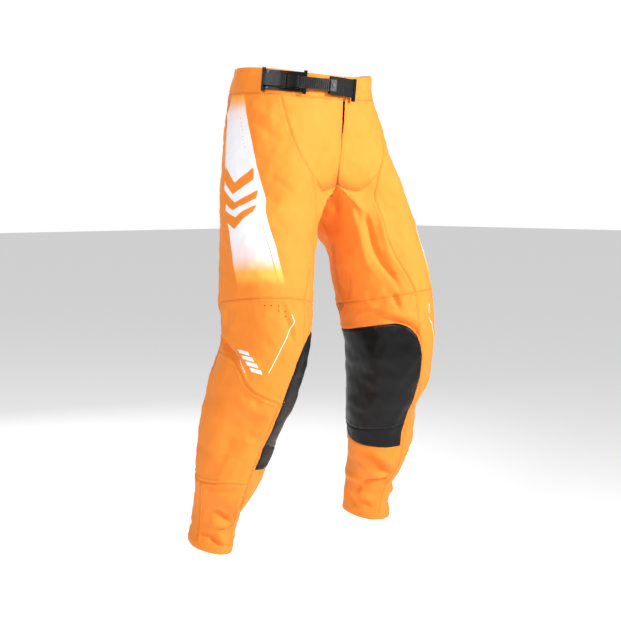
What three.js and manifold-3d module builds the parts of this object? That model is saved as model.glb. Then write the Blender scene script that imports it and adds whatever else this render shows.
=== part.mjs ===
// Off-road riding trousers with leather knee guards, in the shape they have on a rider's bent legs.
// Millimetres, +Z up, the front towards -Y, the wearer's left towards +X.
// The origin is in the middle of the waist opening, level with the top edge of the waistband.
import * as THREE from "three";
import { mergeVertices } from "three/addons/utils/BufferGeometryUtils.js";
import Module from "manifold-3d";

const wasm = await Module();
wasm.setup();

const FABRIC = 2.4; // thickness of a cloth panel with its backing
const LEATHER = 2.8;
const SEAM_GAP = 0.35; // each panel stops this far short of its seam line
const CENTRE_GAP = 0.2; // the two legs stay this far from the middle plane

// Sections round the hips, from the waist edge down to the crotch: the heights of the section at
// the side, front and back, its half width, its depth ahead and behind, the bulge of the thighs in
// front, and how far forward the sides have moved.
const HIPS = [
  { side: 4, front: -12, back: 14, width: 150, ahead: 121, behind: 118, bulge: 0, shift: 0 },
  { side: -45, front: -57, back: -34, width: 157, ahead: 122, behind: 138, bulge: 0, shift: 0 },
  { side: -105, front: -112, back: -98, width: 174, ahead: 118, behind: 136, bulge: 12, shift: 4 },
  { side: -170, front: -170, back: -165, width: 187, ahead: 112, behind: 134, bulge: 28, shift: 12 },
  { side: -240, front: -222, back: -225, width: 205, ahead: 104, behind: 124, bulge: 56, shift: 22 },
];
const CROTCH_Z = -276;

// Sections square to the left leg, from the upper thigh to the hem: the middle, the half width
// across, the depth ahead and behind, and how far the section is turned outwards, in degrees.
const LEG = [
  { middle: [130, -47, -310], across: 92, ahead: 105, behind: 100, turn: 8 },
  { middle: [147, -60, -380], across: 87, ahead: 106, behind: 102, turn: 9 },
  { middle: [158, -71, -450], across: 84, ahead: 108, behind: 104, turn: 10 },
  { middle: [165, -78, -530], across: 80, ahead: 104, behind: 100, turn: 10 },
  { middle: [182, -61, -610], across: 83, ahead: 93, behind: 92, turn: 10 },
  { middle: [192, -35, -690], across: 78, ahead: 79, behind: 79, turn: 10 },
  { middle: [205, -3, -800], across: 60, ahead: 65, behind: 65, turn: 10 },
  { middle: [209, 25, -870], across: 44, ahead: 54, behind: 54, turn: 10 },
  { middle: [214, 38, -934], across: 42, ahead: 55, behind: 54, turn: 10 },
];
const LEG_START = [116, -24, -240]; // the leg's middle line begins here, level with the crotch
const STATIONS = HIPS.length + LEG.length;
const CROTCH_STATION = HIPS.length - 1;
const HEM_STATION = STATIONS - 1;
const BACK_U = 0.75; // u runs round a half of the hips from 0, centre front, to this, centre back
const FORK_U = 0.1; // this near the middle the hips run straight down, and don't follow the leg

// The seams, as points [u, s]: u is the way round from the centre front over the outside and the
// back to the inside of the leg, s is the way down, one unit a section.
const HIP_SEAM = [[0.215, 1], [0.185, 2], [0.158, 2.75], [0.12, 3.45], [0.098, 4], [0.062, 4.5],
  [0.03, 5], [0.022, 5.5], [0.044, 6.3], [0.068, 7]];
const BACK_SEAM = [[0.47, 1], [0.46, 4], [0.44, 7]];
const INSEAM = [[-0.1, 4], [-0.12, 4.5], [-0.165, 4.95], [-0.203, 5.4], [-0.213, 6.4], [-0.2, 7]];
const FRONT_ARC = [[0, 4], [0.021, 4.13], [0.045, 4.17], [0.071, 4.03], [0.096, 3.75], [0.12, 3.45]];
const GUARD_TOP = [[-0.31, 7.8], [-0.22, 7.74], [-0.13, 7.64], [-0.06, 7.59], [-0.01, 7.59],
  [0.034, 7.7], [0.066, 7.88]];
const GUARD_FRONT = [[0.066, 7.88], [0.081, 8.1], [0.09, 8.4], [0.094, 8.7], [0.094, 9.05],
  [0.092, 9.55], [0.086, 10.05]];
const GUARD_BACK = [[-0.31, 7.8], [-0.31, 8.2], [-0.31, 8.6], [-0.308, 9.05], [-0.304, 9.5],
  [-0.295, 9.95], [-0.28, 10.36]];
const GUARD_SPLIT = [[-0.28, 10.36], [-0.2, 10.35], [-0.12, 10.29], [-0.05, 10.22], [0.01, 10.16],
  [0.05, 10.11], [0.086, 10.05]];
const GUARD_FOOT = [[-0.262, 10.58], [-0.2, 10.6], [-0.12, 10.59], [-0.05, 10.56], [0.01, 10.54],
  [0.05, 10.53], [0.088, 10.52]];
const KNEE_FOOT = [[0.094, 9.05], [0.13, 8.99], [0.17, 8.95], [0.215, 8.88], [0.255, 8.75],
  [0.29, 8.54], [0.335, 8.36], [0.385, 8.33], [0.44, 8.36]];
const SHIN_STRIP_WIDTH = 0.017; // as a part of the way round
const STRIP_EDGE = 0.105; // the strip's outer edge at its foot
const CALF_FOOT = [[0.105, 10.78], [0.2, 10.8], [0.3, 10.93], [0.36, 11], [0.44, 11.02], [0.6, 10.9],
  [0.74, 10.78]];
const CUFF_TOP = 12.72;

// The ratchet closure lies on a circle round a tilted axis. Its angles are in degrees from the
// front towards the wearer's right, and its heights are from the middle of the strap.
const CLOSURE = { middle: [-1.4, 44.3, -25.1], lean: [0.064, -0.051, 1], radius: 172.4 };
const BASE_ANGLES = [29.5, 56.5];
const LADDER_ANGLES = [8.4, 51.5];
const TAB_ANGLES = [-7.3, 13.2];
const TAB_STEP = 7.6; // the tab is thick up to this angle, and thin under the strap
const TAB_HALF = 17.5;
const CLAMP_ANGLE = 10.9; // the clamp's screw
const LADDER_HALF = 11.2; // half the strap's height
const RAIL = [12.2, 14.4]; // the buckle's side rails, from the middle of the strap
const LEVER_HALF = 11.6;
const RIB_PITCH = 1.45;
const LEVER_PIN = { angle: 42.5, out: 9 };
const RELEASE_PIN = { angle: 34.6, out: 9 };
const PIN_R = 1.4;
const HOLE_R = 1.75;

// The zip runs behind the centre front edge, straight down the fly.
const ZIP_TOP = [0, -112.3, -66];
const ZIP_LEAN = 0.0885; // how far it goes back for each unit down
const ZIP_LENGTH = 128;
const TOOTH_PITCH = 6;
const PULLER_EYE = [0, -3.2, -7.4]; // the puller turns here, and hangs straight down
const SHIELD_DEPTH = 14; // the cloth shield lies this far behind the front's outer face

const COLOURS = {
  orange: { color: 0xf28a1e, roughness: 0.85, metalness: 0 },
  stretch: { color: 0xd9731a, roughness: 0.9, metalness: 0 },
  leather: { color: 0x121212, roughness: 0.55, metalness: 0 },
  blackPlastic: { color: 0x0b0b0c, roughness: 0.35, metalness: 0 },
  greyPlastic: { color: 0x3a3b3d, roughness: 0.45, metalness: 0 },
  steel: { color: 0x26272a, roughness: 0.4, metalness: 0.8 },
  blackCloth: { color: 0x151515, roughness: 0.9, metalness: 0 },
};

const root = new THREE.Group();

// ---- the surface of the garment ----

const lerp = (a, b, t) => a + (b - a) * t;
const vector = (p) => new THREE.Vector3(...p);

function legFrame(index) {
  const middles = [LEG_START, ...LEG.map((section) => section.middle)].map(vector);
  const next = Math.min(index + 2, LEG.length);
  const down = middles[next].clone().sub(middles[index]).normalize();
  const turn = THREE.MathUtils.degToRad(LEG[index].turn);
  const across = new THREE.Vector3(Math.cos(turn), Math.sin(turn), 0);
  across.addScaledVector(down, -across.dot(down)).normalize();
  const back = new THREE.Vector3(-Math.sin(turn), Math.cos(turn), 0);
  back.addScaledVector(down, -back.dot(down));
  back.addScaledVector(across, -back.dot(across)).normalize();
  return { middle: middles[index + 1], down, across, back };
}
const LEG_FRAMES = LEG.map((_, index) => legFrame(index));

function hipPoint(section, u) {
  const angle = (Math.min(u, BACK_U) / BACK_U) * Math.PI;
  const c = Math.cos(angle);
  const s = Math.sin(angle);
  const bulge = c > 0 ? section.bulge * Math.sin(2 * angle) ** 2 : 0;
  const depth = c > 0 ? section.ahead : section.behind;
  const end = c > 0 ? section.front : section.back;
  const y = -depth * c - bulge - section.shift * s * s;
  return new THREE.Vector3(section.width * s, y, lerp(section.side, end, c * c));
}

// The line between the legs, from the back of the lowest hip section to its front.
function crotchPoint(u) {
  const low = HIPS[CROTCH_STATION];
  const v = (u - BACK_U) / (1 - BACK_U);
  const sag = CROTCH_Z - (low.front + low.back) / 2;
  const z = lerp(low.back, low.front, v) + sag * Math.sin(Math.PI * v);
  return new THREE.Vector3(CENTRE_GAP, lerp(low.behind, -low.ahead, v), z);
}

function legPoint(index, u) {
  const section = LEG[index];
  const frame = LEG_FRAMES[index];
  const angle = THREE.MathUtils.degToRad(360 * u - 45);
  const c = Math.cos(angle);
  const depth = c > 0 ? section.ahead : section.behind;
  const point = frame.middle.clone();
  point.addScaledVector(frame.across, section.across * Math.sin(angle));
  return point.addScaledVector(frame.back, -depth * c);
}

function stationPoint(station, u) {
  if (station > CROTCH_STATION) return legPoint(station - HIPS.length, u);
  if (u <= BACK_U) return hipPoint(HIPS[station], u);
  if (station === CROTCH_STATION) return crotchPoint(u);
  const mirror = crotchPoint(u).multiplyScalar(2);
  return mirror.sub(legPoint(0, u));
}

// A point of the left half, smooth from section to section.
function surfacePoint(u, s) {
  const round = u - Math.floor(u);
  const low = round > BACK_U ? CROTCH_STATION : 0;
  const way = Math.min(Math.max(s, low), HEM_STATION);
  const k = Math.min(Math.floor(way), HEM_STATION - 1);
  const t = way - k;
  const at = (station) => {
    if (station < 0) return at(0).multiplyScalar(2).sub(at(1));
    if (station > HEM_STATION) return at(HEM_STATION).multiplyScalar(2).sub(at(HEM_STATION - 1));
    return stationPoint(station, round);
  };
  const [a, b, c, d] = [k - 1, k, k + 1, k + 2].map(at);
  if (k === CROTCH_STATION - 1) {
    const straight = c.clone().multiplyScalar(2).sub(b);
    d.lerp(straight, 1 - THREE.MathUtils.smoothstep(Math.min(round, BACK_U - round), 0, FORK_U));
  }
  const mix = (p, q, r, w) =>
    0.5 * (2 * q + (r - p) * t + (2 * p - 5 * q + 4 * r - w) * t * t + (3 * q - p - 3 * r + w) * t ** 3);
  const x = Math.max(mix(a.x, b.x, c.x, d.x), CENTRE_GAP);
  return new THREE.Vector3(x, mix(a.y, b.y, c.y, d.y), mix(a.z, b.z, c.z, d.z));
}

function surfaceNormal(u, s) {
  const step = 0.004;
  const onHips = s < CROTCH_STATION;
  const u0 = onHips ? Math.max(u - step, 0) : u - step;
  const u1 = onHips ? Math.min(u + step, BACK_U) : u + step;
  const round = surfacePoint(u1, s).sub(surfacePoint(u0, s));
  const down = surfacePoint(u, s + 0.03).sub(surfacePoint(u, s - 0.03));
  return down.cross(round).normalize();
}

// ---- panels cut from the surface ----

// The point at a height s on a seam given as points.
function onSeam(seam, s) {
  const last = seam.length - 1;
  let i = 0;
  while (i < last - 1 && seam[i + 1][1] < s) i += 1;
  const t = (s - seam[i][1]) / (seam[i + 1][1] - seam[i][1]);
  return [lerp(seam[i][0], seam[i + 1][0], t), s];
}
const seamAt = (seam, heights) => heights.map((s) => onSeam(seam, s));

// Points of the calf's foot seam, evenly spaced in u.
function calfFoot(from, to, steps) {
  return line([from, 0], [to, 0], steps).map(([u]) => {
    let i = 0;
    while (i < CALF_FOOT.length - 2 && CALF_FOOT[i + 1][0] < u) i += 1;
    const [a, b] = CALF_FOOT.slice(i, i + 2);
    return [u, lerp(a[1], b[1], (u - a[0]) / (b[0] - a[0]))];
  });
}

function line(from, to, steps) {
  const points = [];
  for (let i = 0; i <= steps; i += 1) {
    points.push([lerp(from[0], to[0], i / steps), lerp(from[1], to[1], i / steps)]);
  }
  return points;
}

// A grid of [u, s] points between four edges that meet at their ends.
function gridBetween({ top, foot, left, right }) {
  const columns = top.length - 1;
  const rows = left.length - 1;
  return left.map((_, j) =>
    top.map((__, i) => {
      const a = i / columns;
      const b = j / rows;
      return [0, 1].map((k) => {
        const across = lerp(left[j][k], right[j][k], a);
        const along = lerp(top[i][k], foot[i][k], b);
        const upper = lerp(top[0][k], top[columns][k], a);
        const lower = lerp(foot[0][k], foot[columns][k], a);
        return across + along - lerp(upper, lower, b);
      });
    }),
  );
}

// Moves each edge of a grid of points in from its seam. open names the edges left where they are.
function drawIn(points, open) {
  const rows = points.length - 1;
  const columns = points[0].length - 1;
  const before = points.map((row) => row.map((p) => p.clone()));
  const pull = (j, i, j2, i2) => {
    const way = before[j2][i2].clone().sub(before[j][i]);
    points[j][i].addScaledVector(way.normalize(), SEAM_GAP);
  };
  for (let j = 0; j <= rows; j += 1) {
    if (!open.includes("left")) pull(j, 0, j, 1);
    if (!open.includes("right")) pull(j, columns, j, columns - 1);
  }
  for (let i = 0; i <= columns; i += 1) {
    if (!open.includes("top")) pull(0, i, 1, i);
    if (!open.includes("foot")) pull(rows, i, rows - 1, i);
  }
}

// A closed solid between an outer and an inner grid of points.
function solidFromGrids(outer, inner) {
  const rows = outer.length - 1;
  const columns = outer[0].length - 1;
  const positions = [...outer.flat(), ...inner.flat()].flatMap((p) => [p.x, p.y, p.z]);
  const size = (rows + 1) * (columns + 1);
  const at = (j, i) => j * (columns + 1) + i;
  const index = [];
  const quad = (a, b, c, d) => index.push(a, b, c, a, c, d);
  for (let j = 0; j < rows; j += 1) {
    for (let i = 0; i < columns; i += 1) {
      quad(at(j, i), at(j + 1, i), at(j + 1, i + 1), at(j, i + 1));
      quad(size + at(j, i), size + at(j, i + 1), size + at(j + 1, i + 1), size + at(j + 1, i));
    }
    quad(at(j, 0), size + at(j, 0), size + at(j + 1, 0), at(j + 1, 0));
    quad(at(j, columns), at(j + 1, columns), size + at(j + 1, columns), size + at(j, columns));
  }
  for (let i = 0; i < columns; i += 1) {
    quad(at(0, i), at(0, i + 1), size + at(0, i + 1), size + at(0, i));
    quad(at(rows, i), size + at(rows, i), size + at(rows, i + 1), at(rows, i + 1));
  }
  const geometry = new THREE.BufferGeometry();
  geometry.setAttribute("position", new THREE.Float32BufferAttribute(positions, 3));
  geometry.setIndex(index);
  return geometry;
}

// A panel of one half of the garment: the patch between four seams, thickened inwards.
function panel(edges, { thickness = FABRIC, open = [], sink = 0 } = {}) {
  const grid = gridBetween(edges);
  const outer = grid.map((row) => row.map(([u, s]) => surfacePoint(u, s)));
  const normals = grid.map((row) => row.map(([u, s]) => surfaceNormal(u, s)));
  drawIn(outer, open);
  const shifted = (depth) =>
    outer.map((row, j) => row.map((p, i) => p.clone().addScaledVector(normals[j][i], -depth)));
  const geometry = solidFromGrids(shifted(sink), shifted(sink + thickness));
  geometry.userData.centre = outer.flat().reduce((sum, p) => sum.add(p), new THREE.Vector3());
  return geometry;
}

// ---- solids and their joining ----

function toManifold(geometry) {
  const bare = geometry.clone();
  bare.deleteAttribute("normal");
  bare.deleteAttribute("uv");
  const merged = mergeVertices(bare, 1e-4);
  const make = (triVerts) =>
    new wasm.Manifold(
      new wasm.Mesh({ numProp: 3, vertProperties: merged.attributes.position.array, triVerts }),
    );
  const triVerts = new Uint32Array(merged.index.array);
  const solid = make(triVerts);
  if (solid.volume() > 0) return solid;
  for (let i = 0; i < triVerts.length; i += 3) {
    [triVerts[i + 1], triVerts[i + 2]] = [triVerts[i + 2], triVerts[i + 1]];
  }
  return make(triVerts);
}

function fromManifold(solid) {
  const mesh = solid.getMesh();
  const geometry = new THREE.BufferGeometry();
  geometry.setAttribute("position", new THREE.BufferAttribute(mesh.vertProperties, mesh.numProp));
  geometry.setIndex(new THREE.BufferAttribute(mesh.triVerts, 1));
  geometry.computeVertexNormals();
  return geometry;
}

const join = (solids) => solids.reduce((sum, next) => sum.add(next));

function addMesh(parent, name, solid, finish) {
  const mesh = new THREE.Mesh(fromManifold(solid), new THREE.MeshStandardMaterial(COLOURS[finish]));
  mesh.name = name;
  parent.add(mesh);
}

function mirrored(geometry) {
  return geometry.clone().scale(-1, 1, 1);
}

// Adds one panel to each half of the garment.
function addPair(name, geometries, finish) {
  addMesh(root, name + "_left", join(geometries.map(toManifold)), finish);
  addMesh(root, name + "_right", join(geometries.map((g) => toManifold(mirrored(g)))), finish);
}

// ---- hips and thighs ----

const UPPER_ROWS = [1, 1.5, 2, 2.5, 3, 3.45];
const THIGH_ROWS = [3.45, 4, 4.5, 5, 5.5, 6.2, 7];
const INSEAM_ROWS = [4, 4.5, 5, 5.5, 6, 6.5, 7];

function addWaistband() {
  const front = {
    top: line([0, 0], [0.375, 0], 9),
    foot: line([0, 1], [0.375, 1], 9),
    left: line([0, 0], [0, 1], 2),
    right: line([0.375, 0], [0.375, 1], 2),
  };
  addPair("waistband_front", [panel(front, { open: ["top"] })], "orange");
  const back = {
    top: line([0.375, 0], [BACK_U, 0], 8),
    foot: line([0.375, 1], [BACK_U, 1], 8),
    left: line([0.375, 0], [0.375, 1], 2),
    right: line([BACK_U, 0], [BACK_U, 1], 2),
  };
  const half = panel(back, { open: ["top", "right"] });
  half.translate(-CENTRE_GAP, 0, 0);
  const whole = toManifold(half).add(toManifold(mirrored(half)));
  addMesh(root, "waistband_back", whole, "orange");
}

function addFrontPanels() {
  const edges = {
    top: line([0, 1], onSeam(HIP_SEAM, 1), FRONT_ARC.length - 1),
    foot: FRONT_ARC,
    left: line([0, 1], [0, 4], UPPER_ROWS.length - 1),
    right: seamAt(HIP_SEAM, UPPER_ROWS),
  };
  addPair("front_panel", [panel(edges)], "orange");
}

function addInnerThighPanels() {
  const crotch = line(INSEAM[0], [0, 4], 3);
  const top = [...crotch, ...FRONT_ARC.slice(1)];
  const edges = {
    top,
    foot: line(onSeam(INSEAM, 7), onSeam(HIP_SEAM, 7), top.length - 1),
    left: seamAt(INSEAM, INSEAM_ROWS),
    right: seamAt(HIP_SEAM, THIGH_ROWS),
  };
  addPair("inner_thigh_panel", [panel(edges)], "orange");
}

function addSideThighPanels() {
  const rows = [...UPPER_ROWS, ...THIGH_ROWS.slice(1)];
  const edges = {
    top: line(onSeam(HIP_SEAM, 1), onSeam(BACK_SEAM, 1), 6),
    foot: line(onSeam(HIP_SEAM, 7), onSeam(BACK_SEAM, 7), 6),
    left: seamAt(HIP_SEAM, rows),
    right: seamAt(BACK_SEAM, rows),
  };
  addPair("side_thigh_panel", [panel(edges)], "orange");
}

function addSeatPanels() {
  const yoke = {
    top: line(onSeam(BACK_SEAM, 1), [BACK_U, 1], 5),
    foot: line(onSeam(BACK_SEAM, 2), [BACK_U, 2], 5),
    left: seamAt(BACK_SEAM, [1, 1.5, 2]),
    right: line([BACK_U, 1], [BACK_U, 2], 2),
  };
  addPair("stretch_yoke", [panel(yoke)], "stretch");
  const seat = {
    top: line(onSeam(BACK_SEAM, 2), [BACK_U, 2], 5),
    foot: line(onSeam(BACK_SEAM, 4), [BACK_U, 4], 5),
    left: seamAt(BACK_SEAM, [2, 2.5, 3, 3.45, 4]),
    right: line([BACK_U, 2], [BACK_U, 4], 4),
  };
  addPair("seat_panel", [panel(seat)], "orange");
}

function addRearThighPanels() {
  const wrapped = INSEAM.map(([u, s]) => [u + 1, s]);
  const top = [...line(onSeam(BACK_SEAM, 4), [BACK_U, 4], 5), ...line([BACK_U, 4], wrapped[0], 3).slice(1)];
  const edges = {
    top,
    foot: line(onSeam(BACK_SEAM, 7), onSeam(wrapped, 7), top.length - 1),
    left: seamAt(BACK_SEAM, INSEAM_ROWS),
    right: seamAt(wrapped, INSEAM_ROWS),
  };
  addPair("rear_thigh_panel", [panel(edges)], "orange");
}

// ---- knees ----

function addKneePanels() {
  const front = [onSeam(HIP_SEAM, 7), [0.067, 7.44], GUARD_TOP[6]];
  const side = {
    top: line(front[0], onSeam(BACK_SEAM, 7), 8),
    foot: KNEE_FOOT,
    left: [...front.slice(0, 2), ...GUARD_FRONT.slice(0, 5)],
    right: line([0.44, 7], [0.44, 8.36], 6),
  };
  const cap = {
    top: line(onSeam(INSEAM, 7), front[0], 6),
    foot: GUARD_TOP,
    left: line(onSeam(INSEAM, 7), GUARD_TOP[0], 2),
    right: front,
  };
  const pieces = [panel(side, { open: ["left"] }), panel(cap, { open: ["right"] })];
  addPair("knee_panel", pieces, "orange");
}

function addKneeGuards() {
  const upper = { top: GUARD_TOP, foot: GUARD_SPLIT, left: GUARD_BACK, right: GUARD_FRONT };
  addPair("knee_guard_leather", [panel(upper, { thickness: LEATHER })], "leather");
  const lower = {
    top: GUARD_SPLIT,
    foot: GUARD_FOOT,
    left: line(GUARD_SPLIT[0], GUARD_FOOT[0], 2),
    right: line(GUARD_SPLIT[6], GUARD_FOOT[6], 2),
  };
  addPair("knee_guard_foot", [panel(lower, { thickness: LEATHER })], "leather");
}

function addKneeBack() {
  const edges = {
    top: line([0.44, 7], [0.8, 7], 6),
    foot: line([0.44, 8.95], [0.692, 9.05], 6),
    left: line([0.44, 7], [0.44, 8.95], 5),
    right: [[0.8, 7], [0.69, 7.8], [0.69, 8.2], [0.69, 8.6], [0.691, 8.83], [0.692, 9.05]],
  };
  addPair("stretch_knee_back", [panel(edges)], "stretch");
}

// ---- calves and cuffs ----

function addShinStrips() {
  const heights = [9.05, 9.55, 10.05, 10.52];
  const edge = [...GUARD_FRONT.slice(4), GUARD_FOOT[6]];
  const outer = edge.map(([u, s]) => [u + SHIN_STRIP_WIDTH, s]);
  const inner = heights.map((s) => onSeam(edge, s));
  const edges = {
    top: line(inner[0], outer[0], 1),
    foot: line(inner[3], outer[3], 1),
    left: inner,
    right: outer,
  };
  addPair("shin_strip", [panel(edges)], "orange");
}

function addCalfPanels() {
  const foot = [...calfFoot(STRIP_EDGE, 0.36, 6), ...calfFoot(0.36, 0.44, 2).slice(1)];
  const strip = [[0.111, 9.03], [0.109, 9.55], [0.103, 10.05], [STRIP_EDGE, 10.52], foot[0]];
  const side = {
    top: [strip[0], ...KNEE_FOOT.slice(1)],
    foot,
    left: strip,
    right: line([0.44, 8.36], foot[8], 4),
  };
  addPair("calf_panel", [panel(side)], "orange");
  const backFoot = calfFoot(0.44, 0.738, 5);
  const back = {
    top: line([0.44, 8.95], [0.692, 9.05], 5),
    foot: backFoot,
    left: line([0.44, 8.95], foot[8], 5),
    right: [[0.692, 9.05], [0.696, 9.5], [0.705, 9.95], [0.72, 10.36], [0.738, 10.58],
      backFoot[5]],
  };
  addPair("calf_back_panel", [panel(back)], "orange");
}

function addLowerLegPanels() {
  const [front, side] = calfFoot(STRIP_EDGE, 0.36, 1);
  const outer = {
    top: calfFoot(STRIP_EDGE, 0.36, 6),
    foot: line([0.05, CUFF_TOP], [0.32, CUFF_TOP], 6),
    left: line(front, [0.05, CUFF_TOP], 4),
    right: line(side, [0.32, CUFF_TOP], 4),
  };
  addPair("lower_leg_outer", [panel(outer)], "orange");
  const underGuard = GUARD_FOOT.map(([u, s]) => [u + 1, s]);
  const corner = [1 + STRIP_EDGE, GUARD_FOOT[6][1]];
  const inner = {
    top: [...calfFoot(0.36, 0.44, 2), ...calfFoot(0.44, 0.74, 5).slice(1), [0.74, 10.58],
      ...underGuard.slice(1), corner],
    foot: line([0.32, CUFF_TOP], [1.05, CUFF_TOP], 15),
    left: line(side, [0.32, CUFF_TOP], 5),
    right: [corner, ...line([1 + STRIP_EDGE, front[1]], [1.05, CUFF_TOP], 4)],
  };
  addPair("lower_leg_inner", [panel(inner)], "orange");
}

// The hem is one closed ring, cut square to the leg.
function addCuffs() {
  const steps = 22;
  const down = LEG_FRAMES[LEG.length - 1].down;
  const ring = (s, depth) => {
    const points = [];
    for (let i = 0; i < steps; i += 1) {
      const u = i / steps;
      const inward = surfaceNormal(u, s);
      inward.addScaledVector(down, -inward.dot(down)).normalize();
      points.push(surfacePoint(u, s).addScaledVector(inward, -depth));
    }
    return points;
  };
  const loops = [ring(CUFF_TOP + 0.012, 0), ring(HEM_STATION, 0), ring(HEM_STATION, FABRIC),
    ring(CUFF_TOP + 0.012, FABRIC)];
  const index = [];
  loops.forEach((_, k) => {
    const next = (k + 1) % loops.length;
    for (let i = 0; i < steps; i += 1) {
      const j = (i + 1) % steps;
      index.push(k * steps + i, next * steps + i, next * steps + j);
      index.push(k * steps + i, next * steps + j, k * steps + j);
    }
  });
  const geometry = new THREE.BufferGeometry();
  const positions = loops.flat().flatMap((p) => [p.x, p.y, p.z]);
  geometry.setAttribute("position", new THREE.Float32BufferAttribute(positions, 3));
  geometry.setIndex(index);
  addPair("cuff_hem", [geometry], "orange");
}

// ---- the fly and its zip ----

const zip = new THREE.Group();
zip.position.set(...ZIP_TOP);
zip.rotation.x = Math.atan(ZIP_LEAN);
root.add(zip);

// A block given by its lowest and highest corners.
function block(low, high) {
  const size = high.map((value, i) => value - low[i]);
  const geometry = new THREE.BoxGeometry(...size);
  geometry.translate(...low.map((value, i) => value + size[i] / 2));
  return toManifold(geometry);
}

function addZip() {
  const side = { left: 1, right: -1 };
  for (const [name, sign] of Object.entries(side)) {
    const across = (a, b) => [Math.min(sign * a, sign * b), Math.max(sign * a, sign * b)];
    const [tapeLow, tapeHigh] = across(3.3, 15);
    addMesh(zip, "zip_tape_" + name, block([tapeLow, -0.4, -ZIP_LENGTH], [tapeHigh, 0.4, 0]), "blackCloth");
    const [cordLow, cordHigh] = across(1.9, 3);
    const solids = [block([cordLow, -0.8, -ZIP_LENGTH + 6], [cordHigh, 0.8, -1])];
    const [toothLow, toothHigh] = across(0.75, 2);
    for (let z = -4; z > 8 - ZIP_LENGTH; z -= TOOTH_PITCH) {
      solids.push(block([toothLow, -1, z - 1.6], [toothHigh, 1, z + 1.6]));
    }
    addMesh(zip, "zip_teeth_" + name, join(solids), "blackPlastic");
  }
  addMesh(zip, "zip_stop", block([-3, -1.4, -ZIP_LENGTH + 0.5], [3, 1.4, -ZIP_LENGTH + 5]), "steel");
}

function addSlider() {
  const body = join([
    block([-4.2, -2.6, -15], [4.2, -1.4, -5]),
    block([-4.2, 1.4, -15], [4.2, 2.6, -5]),
    block([-0.4, -2, -9.5], [0.4, 2, -5.4]),
    block([-0.8, -4.3, -6.4], [0.8, -2.2, -5.8]),
    block([-0.8, -4.3, -9.4], [0.8, -2.2, -8.8]),
    block([-0.8, -4.3, -9.4], [0.8, -3.8, -5.8]),
  ]);
  addMesh(zip, "zip_slider", body, "blackPlastic");
  const hanging = new THREE.Group();
  hanging.position.set(...PULLER_EYE);
  hanging.rotation.x = -Math.atan(ZIP_LEAN);
  zip.add(hanging);
  const plate = block([-2.6, -0.25, -19], [2.6, 0.25, 0.4]);
  const slot = block([-1.2, -1, -4], [1.2, 1, -0.4]);
  addMesh(hanging, "zip_puller", plate.subtract(slot), "blackPlastic");
}

// The cloth shield behind the zip is sewn to the left front.
function addFlyShield() {
  const edges = {
    top: line([0, 1.05], [0.045, 1.05], 2),
    foot: line([0, 3.3], [0.03, 3.3], 2),
    left: line([0, 1.05], [0, 3.3], 4),
    right: line([0.045, 1.05], [0.03, 3.3], 4),
  };
  const half = panel(edges, { sink: SHIELD_DEPTH, thickness: 1.5, open: ["left"] });
  half.translate(-CENTRE_GAP, 0, 0);
  const wing = panel(edges, { sink: SHIELD_DEPTH, thickness: 1.5, open: ["left"] });
  wing.translate(-CENTRE_GAP, 0, 0);
  addMesh(root, "fly_shield", toManifold(half).add(toManifold(mirrored(wing))), "blackCloth");
}

// ---- the ratchet closure ----

const closure = new THREE.Group();
closure.position.set(...CLOSURE.middle);
const lean = new THREE.Vector3(...CLOSURE.lean).normalize();
closure.quaternion.setFromUnitVectors(new THREE.Vector3(0, 0, 1), lean);
root.add(closure);

const radians = THREE.MathUtils.degToRad;
const onCircle = (angle, radius) => [-radius * Math.sin(radians(angle)), -radius * Math.cos(radians(angle))];

// A curved plate: out is its height above the garment, from and to are angles.
function arcPlate({ from, to, low, high, foot, top }) {
  const r0 = CLOSURE.radius + low;
  const r1 = CLOSURE.radius + high;
  const steps = Math.max(1, Math.round((to - from) / 5));
  const points = [];
  for (let i = 0; i <= steps; i += 1) points.push(onCircle(lerp(from, to, i / steps), r1));
  for (let i = steps; i >= 0; i -= 1) points.push(onCircle(lerp(from, to, i / steps), r0));
  const shape = new THREE.Shape(points.map((p) => new THREE.Vector2(...p)));
  const geometry = new THREE.ExtrudeGeometry(shape, { depth: top - foot, bevelEnabled: false });
  geometry.translate(0, 0, foot);
  return toManifold(geometry);
}

// Two plates, one above and one below the strap.
function arcPair(spec) {
  const lower = { ...spec, foot: -spec.top, top: -spec.foot };
  return arcPlate(spec).add(arcPlate(lower));
}

function rod({ angle, out }, radius, half, sides = 16) {
  const geometry = new THREE.CylinderGeometry(radius, radius, 2 * half, sides);
  geometry.rotateX(Math.PI / 2);
  const [x, y] = onCircle(angle, CLOSURE.radius + out);
  geometry.translate(x, y, 0);
  return toManifold(geometry);
}

// A round boss whose axis points away from the garment.
function stud(angle, height, radius, low, high, sides = 14) {
  const geometry = new THREE.CylinderGeometry(radius, radius, high - low, sides);
  geometry.translate(0, (low + high) / 2 + CLOSURE.radius, 0);
  geometry.rotateX(Math.PI);
  geometry.rotateZ(-radians(angle));
  geometry.translate(0, 0, height);
  return toManifold(geometry);
}

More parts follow.
